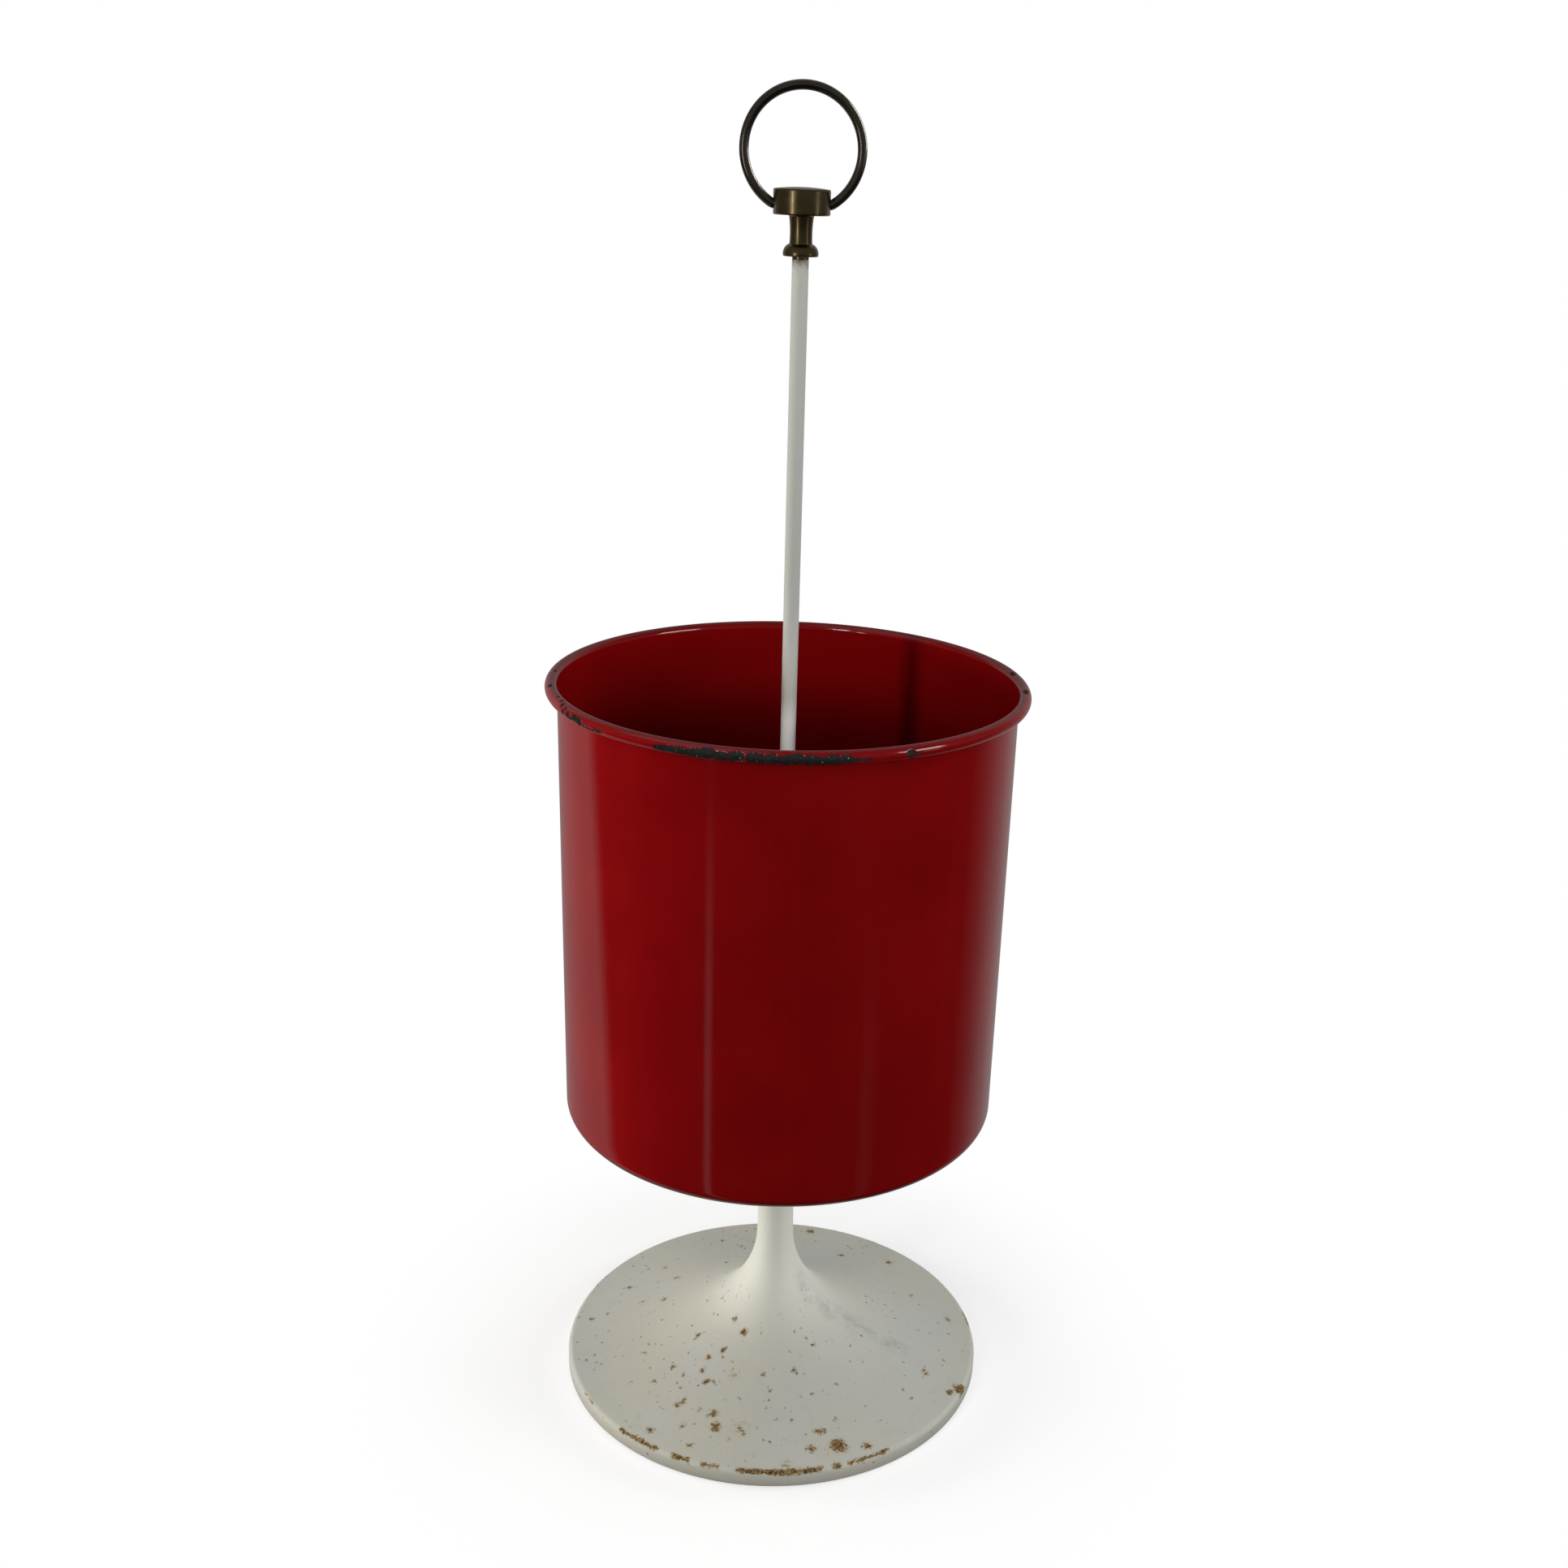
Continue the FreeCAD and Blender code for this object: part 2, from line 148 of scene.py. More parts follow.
# Chips on the rim, all in degrees: angle, angle round the roll (0 outward, 90 up), half length, half width
RIM_CHIPS = [
    (-26.5, -12, 3.4, 30), (-22.5, -8, 4, 34), (-19.5, -10, 4, 42), (-17, 5, 1.8, 50),
    (-13.5, -12, 3.6, 42), (-10.6, 0, 1.6, 48), (-7, 0, 2, 50), (-4.4, -10, 2.8, 44),
    (-2.7, -2, 1.6, 46), (-0.3, -12, 2.6, 42), (2, 3, 2.2, 52), (4.9, -8, 2.4, 46),
    (7.2, -16, 1.8, 34), (9.4, -2, 1.8, 50), (11, -12, 3, 36), (12.5, 0, 1.6, 46), (15.5, -6, 2.6, 14),
    (-62.4, 50, 0.6, 22), (-60.1, 44, 0.5, 15), (-60.8, 4, 0.9, 20), (-58.2, 2, 1, 30),
    (-56.9, -12, 1.6, 18), (-54.9, 8, 1.2, 34), (-53.2, -4, 1.3, 40), (-52, -22, 1.5, 18),
    (-48.4, -26, 3, 11), (-45.8, -14, 1.3, 18),
    (-64.5, 75, 0.45, 24), (-67.8, 80, 0.4, 16), (-77.5, 72, 1.1, 20), (-90.5, 105, 1.2, 11),
    (27.3, 2, 1.1, 38), (29.2, 0, 0.6, 12), (72, 140, 1.3, 22), (84, 85, 2, 26),
    (100.5, 110, 1.5, 22), (-118, 25, 1.2, 28), (-141, 60, 0.9, 20), (152, 15, 1.6, 30),
    (155.5, 5, 1, 22), (178, 70, 0.7, 16),
]
# Where the rim's mesh is fine enough for chips: first and last angle
CHIP_ZONES = [(-70, -42), (-32, 20), (25, 31), (70, 75), (80, 88), (97, 104), (-80, -75), (-93, -88)]

# Rust on the foot: angle, radius, half size in millimetres, strength
RUST_SPOTS = [
    (66, 120.2, 2.4, 1.3), (63, 115.5, 1.2, 1.2), (66, 98, 1.6, 0.7), (67.5, 97, 1, 0.9),
    (20.5, 108, 2.9, 1.2), (21.3, 110, 1.8, 1.1), (12.5, 107, 1.8, 1), (28, 113.5, 1.7, 1),
    (-10, 93.5, 3.2, 0.45), (-9, 95.5, 1.6, 0.6), (-18.5, 95.5, 2, 0.95), (-21.5, 87.5, 2, 0.9),
    (-22.6, 88.5, 1.4, 0.7), (-20, 61.5, 2, 0.5), (-35.5, 90, 1.7, 0.8), (-34.5, 87, 1.4, 0.9),
    (-29, 101, 1.4, 0.9), (-50.5, 73.5, 1.1, 0.9), (-31.5, 71, 1.5, 0.9), (-39, 57.5, 1.2, 1),
    (-33.5, 50.5, 1.2, 1.1), (-41, 33.5, 1.1, 0.8), (-26.5, 38, 1.3, 1.1), (-37, 65.5, 1.2, 0.9),
    (16.5, 96.5, 1.5, 0.9), (14.8, 96.3, 1, 0.8), (18, 96.6, 1, 0.9), (23.5, 91, 1, 0.8),
    (4.5, 116, 1.8, 0.6), (-23, 111, 1.4, 0.9), (-36.5, 112, 1.6, 0.9), (-113.5, 98, 1.4, 0.8),
    (-104, 69, 1.6, 0.8), (-103.5, 82, 1.5, 0.7), (-130.5, 90.5, 1.6, 0.6), (-124, 72.5, 1.4, 0.7),
    (13, 57, 1.1, 0.9), (-4.5, 59, 0.9, 1.1), (31.5, 45.5, 1, 0.8), (-43, 73.5, 1.2, 0.7),
    (-67.5, 81.5, 1.1, 0.7), (-50.5, 86.5, 1.2, 0.8), (-57, 96.5, 1, 0.7), (-58, 51.5, 1.1, 0.8),
    (-13, 101, 1.1, 0.7), (-27, 88, 1.1, 0.7), (8, 87, 0.9, 0.7), (-2, 79, 0.8, 0.9),
    (135, 104, 1.8, 0.9), (150, 86, 1.3, 0.8), (168, 112, 2, 0.9), (-160, 99, 1.4, 0.8),
    (112, 92, 1.2, 0.8), (98, 108, 1.5, 0.8), (-95, 110, 1.3, 0.8), (-150, 60, 1.1, 0.8),
]

# Rust along the rounding of the foot's edge: first angle, last angle, half width in millimetres, strength
RUST_DASHES = [
    (-44, -30, 1.81, 1), (-26.5, -20.5, 2.03, 0.95), (-18.5, -12.5, 1.89, 0.7), (-8.5, 14.5, 2.03, 1.1),
    (16.5, 19.5, 1.89, 0.95), (20.5, 33.5, 1.67, 0.85), (-62, -56, 1.01, 0.6), (95, 103, 1.45, 0.8),
    (140, 158, 1.74, 0.9), (-122, -112, 1.45, 0.8), (-170, -163, 1.89, 0.9),
]
SPOT_SPREAD = 1.7  # how far the rust reaches past a spot's own size
DASH_ANGLE = 46  # degrees round the edge's rounding, from outward towards up

# A grey patch on the foot: angle and radius (mm) of points along it, and how far it reaches
GREY_PATCH_LINE = [(61.5, 23), (66, 30), (70, 36.5), (73, 47), (75.5, 62), (72.5, 77)]
GREY_PATCH_REACH = 10

# What the stand reflects: angle and brightness of the room round it. On the left its edges slant below the
# horizon, by WALL_SLANT degrees per unit of a direction's height, and are as listed at WALL_HEIGHT
WALL_LEVELS = [
    (-180, 0.24), (-150, 0.26), (-122, 0.33), (-113, 0.42), (-105, 0.03), (-60, 0.02), (103, 0.02),
    (116, 0.12), (130, 0.27), (147, 0.34), (180, 0.24),
]
WALL_HEIGHT = -0.342
WALL_SLANT = 55
HAZE = (-0.28, 0.05, 0.13, 0.012)  # heights of the fade, brightness above and below it
# Streaks of light on the ground: angle, half width, heights of the fade, brightness
GROUND_STREAKS = [(-37, 2.6, -0.30, -0.46, 0.42), (47, 6.0, -0.38, -0.50, 0.07)]
AMBIENT = (-0.5, 0.5, 0.05, 0.11)  # what lights the stand from all round, given like the haze

# Floor: half its side, where its shading has faded out, and the light that it gives itself
FLOOR_SIZE = 30
FLOOR_FADE = (0.135, 0.26)
FLOOR_GLOW = 0.64

# Camera, fitted to the photo's outlines: pitch, yaw and roll in radians
CAMERA_TURN = (0.3837, 0.0339, 0.0388)
CAMERA_PLACE = (0, -0.8830, 0.6653)
CAMERA_LENS = 40.458
CAMERA_SHIFT = (-0.03554, 0.06018)


# Outlines

def on_circle(centre, radius, degrees):
    angle = math.radians(degrees)
    return (centre[0] + radius * math.cos(angle), centre[1] + radius * math.sin(angle))


def bend(centre, radius, start, end, step):
    """Even points of an arc about a step (mm) apart, both ends included."""
    count = max(2, math.ceil(math.radians(abs(end - start)) * radius / (step * MM)))
    return [on_circle(centre, radius, start + (end - start) * i / count) for i in range(count + 1)]


def straight(start, end, step):
    """Even points of a straight run about a step (mm) apart, both ends included."""
    count = max(1, math.ceil(math.dist(start, end) / (step * MM)))
    start, end = np.array(start), np.array(end)
    return [tuple(start + (end - start) * i / count) for i in range(count + 1)]


def joined(*runs):
    """One outline from several runs, without the points that they share."""
    points = []
    for run in runs:
        points += [p for p in run if not points or math.dist(p, points[-1]) > 1e-7]
    return points


def round_block(inner, outer, bottom, top, radius):
    """The outline of a flat ring with its four edges rounded."""
    corners = [(outer - radius, bottom + radius, -90), (outer - radius, top - radius, 0),
               (inner + radius, top - radius, 90), (inner + radius, bottom + radius, 180)]
    return joined(*[bend((r, z), radius, start, start + 90, radius / 4 / MM) for r, z, start in corners])


# Meshes

def columns(step, fine_step=None, zones=()):
    """Angles of a full turn in degrees from 0, closer together inside the zones."""
    angles = [0.0]
    while angles[-1] < 360:
        inside = any((angles[-1] - first) % 360 < last - first for first, last in zones)
        angles.append(angles[-1] + (fine_step if inside else step))
    return angles[:-1] if angles[-1] - 360 > -1e-6 else angles


def even_columns(count):
    return [360 * i / count for i in range(count)]


def grid_faces(first, rows, count, closed):
    """Quads between rows of vertices, each of which goes all the way round."""
    faces = []
    for row in range(rows if closed else rows - 1):
        near, far = first + row * count, first + (row + 1) % rows * count
        faces += [(near + c, near + (c + 1) % count, far + (c + 1) % count, far + c) for c in range(count)]
    return faces


def stitch_faces(first_near, near, first_far, far):
    """Triangles between two rings of vertices whose angles differ."""
    faces, i, j = [], 0, 0
    while i < len(near) or j < len(far):
        next_near = near[i + 1] if i + 1 < len(near) else 360 + (i >= len(near)) * 360
        next_far = far[j + 1] if j + 1 < len(far) else 360 + (j >= len(far)) * 360
        here, there = first_near + i % len(near), first_far + j % len(far)
        if next_near <= next_far:
            faces.append((here, first_near + (i + 1) % len(near), there))
            i += 1
        else:
            faces.append((here, first_far + (j + 1) % len(far), there))
            j += 1
    return faces


def placed(name, data):
    """A new object in the scene."""
    thing = bpy.data.objects.new(name, data)
    scene.collection.objects.link(thing)
    return thing


def new_piece(name, points, faces):
    """A mesh object, smooth except along edges sharper than the crease angle."""
    mesh = bpy.data.meshes.new(name)
    mesh.from_pydata(np.asarray(points, float).tolist(), [], faces)
    mesh.validate()
    mesh.shade_smooth()
    mesh.set_sharp_from_angle(angle=CREASE)
    return placed(name, mesh)


def turned(name, bands, on_axis=False):
    """A body of revolution from bands, each an outline with its own columns, stitched together. With
    on_axis both ends close at a point on the axis, otherwise the last band closes on the first."""
    points, faces, firsts = [], [], []
    for outline, angles in bands:
        first = len(points)
        firsts.append(first)
        turn = np.radians(angles)
        for radius, height in outline:
            ring = np.stack([radius * np.sin(turn), -radius * np.cos(turn), np.full(len(turn), height)], 1)
            points += list(ring)
        closed = len(bands) == 1 and not on_axis
        faces += grid_faces(first, len(outline), len(angles), closed)
    pairs = list(zip(range(len(bands)), list(range(1, len(bands))) + [0]))
    for near, far in pairs[:-1] if on_axis or len(bands) == 1 else pairs:
        last_ring = firsts[near] + (len(bands[near][0]) - 1) * len(bands[near][1])
        faces += stitch_faces(last_ring, bands[near][1], firsts[far], bands[far][1])
    if on_axis:
        for band, end, flip in ((0, 0, False), (-1, -1, True)):
            outline, angles = bands[band]
            first = firsts[band] + (len(outline) - 1) * len(angles) * (end == -1)
            points.append(np.array([0, 0, outline[end][1]]))
            tip, count = len(points) - 1, len(angles)
            ring = [(first + c, first + (c + 1) % count) for c in range(count)]
            faces += [(a, b, tip) if flip else (b, a, tip) for a, b in ring]
    return new_piece(name, points, faces)


def lathe(name, outline, count, on_axis=False):
    """A body of revolution with even columns."""
    return turned(name, [(outline, even_columns(count))], on_axis)


def vertices_of(piece):
    """Positions and normals of a piece's vertices."""
    count = len(piece.data.vertices)
    places, normals = np.zeros(count * 3), np.zeros(count * 3)
    piece.data.vertices.foreach_get("co", places)
    piece.data.vertex_normals.foreach_get("vector", normals)
    return places.reshape(-1, 3), normals.reshape(-1, 3)


def set_places(piece, places):
    piece.data.vertices.foreach_set("co", places.ravel())
    piece.data.update()


def set_field(piece, name, values):
    field = piece.data.attributes.new(name, "FLOAT", "POINT")
    field.data.foreach_set("value", np.asarray(values, np.float32))


def lumps(places, size, seed=0.0):
    """Smooth noise from -1 to 1 with features of a size (mm)."""
    shift = Vector((seed, seed * 1.7, -seed))
    return np.array([noise.noise(Vector(p) / (size * MM) + shift) for p in places])


def polar(places):
    """Angle in degrees from the front towards +X, and distance from the axis."""
    angle = np.degrees(np.arctan2(places[:, 0], -places[:, 1]))
    return angle, np.hypot(places[:, 0], places[:, 1])


def smooth_step(values, low, high):
    t = np.clip((values - low) / (high - low), 0, 1)
    return t * t * (3 - 2 * t)


def dress(piece, node, material, body="stand"):
    """Puts a finished piece on its CAD body in place of its CAD node."""
    piece.data.materials.clear()
    piece.data.materials.append(material)
    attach(piece, body)
    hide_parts(node)


# Pieces

def pail():
    low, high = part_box("pail")
    inner = PAIL_RADIUS - SHEET
    curl_outer = (high.x - inner) / 2
    curl_inner = curl_outer - SHEET
    curl = (high.x - curl_outer, high.z - curl_outer)
    corner = (PAIL_RADIUS - PAIL_CORNER, low.z + PAIL_CORNER)
    lip = curl[1] - 4 * MM
    coarse = even_columns(300)
    outside = joined(
        straight((BORE, low.z), (corner[0], low.z), 12),
        bend(corner, PAIL_CORNER, -90, 0, 0.9),
        straight((PAIL_RADIUS, corner[1]), (PAIL_RADIUS, curl[1]), 8),
        bend(curl, curl_inner, 180, CURL_END, 0.6),
    )
    rim = joined(
        bend(curl, curl_outer, CURL_END, 180, 0.36),
        straight((inner, curl[1]), (inner, lip), 0.8),
    )
    inside = joined(
        straight((inner, lip - 1 * MM), (inner, corner[1]), 8),
        bend(corner, PAIL_CORNER - SHEET, 0, -90, 0.9),
        straight((corner[0], low.z + SHEET), (BORE, low.z + SHEET), 12),
    )
    dense = columns(0.8, 0.15, CHIP_ZONES)
    piece = turned("red_pail", [(outside, coarse), (rim, dense), (inside, coarse)])
    chip_rim(piece, curl, curl_outer)
    set_field(piece, "inside", polar(vertices_of(piece)[0])[1] < PAIL_RADIUS - SHEET / 2)
    dress(piece, "pail", enamel())
    return piece


def chip_rim(piece, curl, curl_outer):
    """Chips in the enamel of the rolled rim, sunk into the mesh and stored as a field for the colours."""
    places, normals = vertices_of(piece)
    angle, radius = polar(places)
    out, up = radius - curl[0], places[:, 2] - curl[1]
    on_rim = np.abs(np.hypot(out, up) - curl_outer) < 0.1 * MM
    round_rim = np.degrees(np.arctan2(up, out))
    field = np.full(len(places), -1.0)
    for chip_angle, chip_round, half_length, half_width in RIM_CHIPS:
        along = ((angle - chip_angle + 180) % 360 - 180) / half_length
        across = (round_rim - chip_round) / half_width
        field = np.maximum(field, 1 - along**2 - across**2)
    near = on_rim & (field > -1)
    ragged = 0.55 * lumps(places[near], 1.7, 3.1) + 0.35 * lumps(places[near], 0.8, 8.2)
    field[near] = field[near] + ragged
    field[~on_rim] = -1
    sunk = smooth_step(field, -0.05, 0.22)
    pits = np.zeros(len(places))
    pits[near] = lumps(places[near], 0.7, 5.5)
    depth = CHIP_DEPTH * sunk * (1 + 0.35 * pits)
    set_places(piece, places - normals * depth[:, None])
    set_field(piece, "chip", np.clip(field, -1, 1))


def foot_curves(depth, edge_centre):
    """The dish and the flare of the foot's top, moved a depth into the metal, as (centre, radius) pairs."""
    crest = on_circle(edge_centre, FOOT_EDGE_ROUND, DISH_START + 180)
    dish = on_circle(crest, DISH_ROUND, DISH_START + 180)
    meet = on_circle(dish, DISH_ROUND, FLARE_START)
    flare = on_circle(meet, FLARE_ROUND, FLARE_START + 180)
    return (dish, DISH_ROUND + depth), (flare, FLARE_ROUND + depth)


def degrees_at(circle, radius):
    """Where a hollow curve (centre, radius), seen from its centre, reaches a distance from the axis."""
    (across, _), size = circle
    return -math.degrees(math.acos((radius - across) / size))


def foot_underside(high, edge_centre):
    """From the bore out under the hub, the flare and the dish, and over the felt's groove to the edge."""
    dish, flare = foot_curves(FOOT_WALL, edge_centre)
    hub, land = degrees_at(flare, HUB_RADIUS), degrees_at(dish, FOOT_LAND_INNER)
    felt_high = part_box("foot_felt_ring")[1]
    groove_in, groove_out = FELT_INNER - GROOVE_PLAY, felt_high.x + GROOVE_PLAY
    return joined(
        straight((BORE, HUB_BOTTOM), (HUB_RADIUS, HUB_BOTTOM), 6),
        straight((HUB_RADIUS, HUB_BOTTOM), on_circle(*flare, hub), 8),
        bend(*flare, hub, FLARE_START, 3),
        bend(*dish, FLARE_START, land, 4),
        straight(on_circle(*dish, land), (FOOT_LAND_INNER, FOOT_GAP), 3),
        straight((FOOT_LAND_INNER, FOOT_GAP), (groove_in, FOOT_GAP), 2),
        [(groove_in, felt_high.z), (groove_out, felt_high.z), (groove_out, FOOT_GAP)],
        bend((high.x - FOOT_LOWER_ROUND, FOOT_GAP + FOOT_LOWER_ROUND), FOOT_LOWER_ROUND, -90, 0, 0.4),
    )


def foot_top(high, edge_centre):
    """From the upright edge over its rounding, across the dish and up the flare."""
    dish, flare = foot_curves(0, edge_centre)
    return joined(
        straight((high.x, FOOT_EDGE_HEIGHT - 2 * MM), (high.x, FOOT_EDGE_HEIGHT), 1),
        bend(edge_centre, FOOT_EDGE_ROUND, 0, DISH_START + 180, 0.36),
        bend(*dish, DISH_START, FLARE_START, 1.0),
        bend(*flare, FLARE_START, degrees_at(flare, FLARE_TOP_RADIUS), 1.2),
    )


def foot_neck(high, edge_centre):
    """Up the neck, out under the seat and over it, and down the bore."""
    flare = foot_curves(0, edge_centre)[1]
    start = degrees_at(flare, FLARE_TOP_RADIUS - 0.5 * MM)
    seat_bottom, corner = high.z - SEAT_EDGE, SEAT_RADIUS - SEAT_CORNER
    cove = (NECK_RADIUS + SEAT_COVE, seat_bottom - SEAT_COVE)
    return joined(
        bend(*flare, start, -180, 2),
        straight(on_circle(*flare, -180), (NECK_RADIUS, cove[1]), 6),
        bend(cove, SEAT_COVE, 180, 90, 0.8),
        bend((corner, seat_bottom + SEAT_CORNER), SEAT_CORNER, -90, 0, 0.2),
        bend((corner, high.z - SEAT_CORNER), SEAT_CORNER, 0, 90, 0.2),
        straight((corner, high.z), (BORE, high.z), 6),
        straight((BORE, high.z), (BORE, HUB_BOTTOM), 20)[:-1],
    )


def foot():
    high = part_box("foot_casting")[1]
    edge_centre = (high.x - FOOT_EDGE_ROUND, FOOT_EDGE_HEIGHT)
    coarse, fine = even_columns(240), columns(0.8, 0.55, [(-75, 75)])
    piece = turned("white_foot", [
        (foot_underside(high, edge_centre), coarse),
        (foot_top(high, edge_centre), fine),
        (foot_neck(high, edge_centre), coarse),
    ])
    wear_foot(piece, edge_centre)
    dress(piece, "foot_casting", foot_lacquer())
    return piece


def wear_foot(piece, edge_centre):
    """The foot's cast unevenness, its rust and its grey patch, sunk into the mesh and stored as fields."""
    places, normals = vertices_of(piece)
    radius = polar(places)[1]
    upward = smooth_step(normals[:, 2], 0.0, 0.30)
    on_top = (upward > 0) & (radius > NECK_RADIUS) & (places[:, 2] > FOOT_EDGE_HEIGHT - 0.1 * MM)
    wobble = np.column_stack([lumps(places, 2.6, seed) for seed in (4.1, 8.3)])
    flat = places[:, :2] / MM + 1.3 * wobble
    rust = np.maximum(rust_spots(flat), rust_dashes(places, edge_centre, wobble))
    grey_patch = grey_patch_band(flat)
    rust[~on_top] = -1
    grey_patch[~on_top] = 0
    uneven = 0.5 + 0.5 * lumps(places, 22, 1.3)
    depth = RUST_DEPTH * smooth_step(rust, 0.0, 0.35)
    depth += CAST_RELIEF * uneven * upward
    set_places(piece, places - normals * depth[:, None])
    set_field(piece, "rust", np.clip(rust, -1, 1.2))
    set_field(piece, "grey_patch", np.clip(grey_patch, 0, 1))


def distance_to(flat, angle, radius):
    """How far points seen from above lie from an angle and a radius, all in millimetres."""
    turn = math.radians(angle)
    centre = radius * np.array([math.sin(turn), -math.cos(turn)])
    return np.hypot(*(flat - centre).T)


def stain(distance, reach, strength):
    """Falls from its strength in the middle, through 0 or before its reach, to below 0."""
    return np.clip(1 - distance / reach, -1, 1) * strength - (1 - strength) * 0.5


def rust_spots(flat):
    rust = np.full(len(flat), -1.0)
    for angle, radius, size, strength in RUST_SPOTS:
        rust = np.maximum(rust, stain(distance_to(flat, angle, radius), SPOT_SPREAD * size, strength))
    return rust


def rust_dashes(places, edge_centre, wobble):
    """Rust that runs along the rounding of the foot's edge."""
    angle, radius = polar(places)
    out, up = radius - edge_centre[0], places[:, 2] - edge_centre[1]
    across = (np.degrees(np.arctan2(up, out)) - DASH_ANGLE) * math.radians(1) * FOOT_EDGE_ROUND / MM
    rust = np.full(len(places), -1.0)
    for first, last, half_width, strength in RUST_DASHES:
        middle, half = (first + last) / 2, (last - first) / 2
        past_end = (np.abs((angle - middle + 180) % 360 - 180) - half) * math.radians(1) * radius / MM
        distance = np.hypot(np.maximum(past_end + half_width, 0), across + 0.7 * wobble[:, 0])
        rust = np.maximum(rust, stain(distance + 0.8 * wobble[:, 1], half_width, strength))
    rust[(out <= -1 * MM) | (up <= -0.5 * MM)] = -1
    return rust


def grey_patch_band(flat):
    """A band round the line through the grey patch's points: 1 on it, 0 and less beyond its reach."""
    grey_patch = np.zeros(len(flat))
    for (a0, r0), (a1, r1) in zip(GREY_PATCH_LINE, GREY_PATCH_LINE[1:]):
        for part in np.linspace(0, 1, 6):
            distance = distance_to(flat, a0 + (a1 - a0) * part, r0 + (r1 - r0) * part)
            grey_patch = np.maximum(grey_patch, 1 - distance / GREY_PATCH_REACH)
    return grey_patch


def felt_ring():
    low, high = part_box("foot_felt_ring")
    outline = round_block(FELT_INNER, high.x, low.z, high.z, 0.7 * MM)
    piece = lathe("felt_ring", outline, 420)
    places, normals = vertices_of(piece)
    worn = 0.5 + 0.5 * lumps(places, 1.6, 2.0)
    inward = np.where(normals[:, 2] < -0.7, 0.02, 0.22) * MM
    set_places(piece, places - normals * (inward * worn)[:, None])
    dress(piece, "foot_felt_ring", felt())


def rubber_rings():
    """Both keep the plain black rubber that the CAD model gives them."""
    for name, node in (("seat_rubber", "seat_gasket"), ("floor_rubber", "floor_seal")):
        low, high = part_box(node)
        outline = round_block(BORE, high.x, low.z, high.z, 0.35 * MM)
        piece = lathe(name, outline, 160)
        dress(piece, node, bpy.data.materials["black_rubber"])


def thread_run(radius, bottom, top):
    return straight((radius, bottom), (radius, top), THREAD_PITCH / 10 / MM)


def rod():
    low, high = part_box("stem_rod")
    radius, top = high.x, high.z
    core = radius - THREAD_DEPTH
    outline = joined(
        [(core - 1.5 * MM, low.z), (core, low.z), (radius, low.z + THREAD_DEPTH)],
        thread_run(radius, *FOOT_THREAD),
        straight((radius, FOOT_THREAD[1]), (radius, FLOOR_THREAD[0]), 10),
        thread_run(radius, *FLOOR_THREAD),
        straight((radius, FLOOR_THREAD[1]), (radius, ROD_SHOULDER - 0.3 * MM), 6),
        bend((radius - 0.3 * MM, ROD_SHOULDER - 0.3 * MM), 0.3 * MM, 0, 90, 0.1),
        [(STUD_RADIUS, ROD_SHOULDER), (STUD_RADIUS, top), (STUD_RADIUS / 2, top)],
    )
    piece = lathe("white_rod", outline, 72, on_axis=True)
    cut_threads(piece, radius)
    dress(piece, "stem_rod", rod_lacquer())
    return piece


def cut_threads(piece, radius):
    """Sinks a helix into the rod along its two threaded runs."""
    places = vertices_of(piece)[0]
    angle, distance = polar(places)
    height = places[:, 2]
    wave = np.abs((height / THREAD_PITCH - angle / 360) % 1 * 2 - 1)
    cut = np.zeros(len(places))
    for bottom, thread_top in (FOOT_THREAD, FLOOR_THREAD):
        run_out = np.minimum((height - bottom) / THREAD_PITCH, (thread_top - height) / THREAD_PITCH)
        cut = np.maximum(cut, np.clip(run_out, 0, 1))
    cut[distance < radius - 0.2 * MM] = 0
    scale = 1 - cut * wave * THREAD_DEPTH / radius
    places[:, :2] *= scale[:, None]
    set_places(piece, places)


def ferrule():
    low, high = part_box("finial_ferrule")
    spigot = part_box("stem_rod")[1].x
    bottom = low.z + FERRULE_SPIGOT
    lip_top = bottom + FERRULE_LIP
    rise, narrowing = high.z - lip_top, high.x - FERRULE_TOP_RADIUS
    bell = (narrowing**2 + rise**2) / (2 * narrowing)
    centre = (high.x - bell, lip_top)
    lip_round = FERRULE_LIP / 2
    outline = joined(
        straight((STUD_BORE, low.z), (spigot, low.z), 1),
        straight((spigot, low.z), (spigot, bottom), 0.5),
        straight((spigot, bottom), (high.x - lip_round, bottom), 1),
        bend((high.x - lip_round, bottom + lip_round), lip_round, -90, 0, 0.12),
        straight((high.x, bottom + lip_round), (high.x, lip_top), 0.3),
        bend(centre, bell, 0, math.degrees(math.asin(rise / bell)), 0.25),
        straight((FERRULE_TOP_RADIUS, high.z), (STUD_BORE, high.z), 1),
    )
    piece = lathe("brass_ferrule", outline, 144)
    dress(piece, "finial_ferrule", turned_brass())


def neck():
    low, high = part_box("finial_neck")
    flare = (FINIAL_NECK_TOP + FINIAL_NECK_FLARE, high.z - FINIAL_NECK_FLARE)
    ends = (FINIAL_NECK_BOTTOM, FINIAL_NECK_TOP)
    run = flare[1] - low.z
    sag = (ends[0] + ends[1]) / 2 - FINIAL_NECK_WAIST
    side = []
    for part in np.linspace(0, 1, 25):
        radius = ends[0] + (ends[1] - ends[0]) * part - sag * 4 * part * (1 - part)
        side.append((radius, low.z + run * part))
    outline = joined(
        straight((STUD_BORE, low.z), (ends[0], low.z), 1),
        side,
        bend(flare, FINIAL_NECK_FLARE, 180, 90, 0.15),
        straight((flare[0], high.z), (STUD_BORE, high.z), 1),
    )
    piece = lathe("brass_neck", outline, 128)
    dress(piece, "finial_neck", turned_brass())


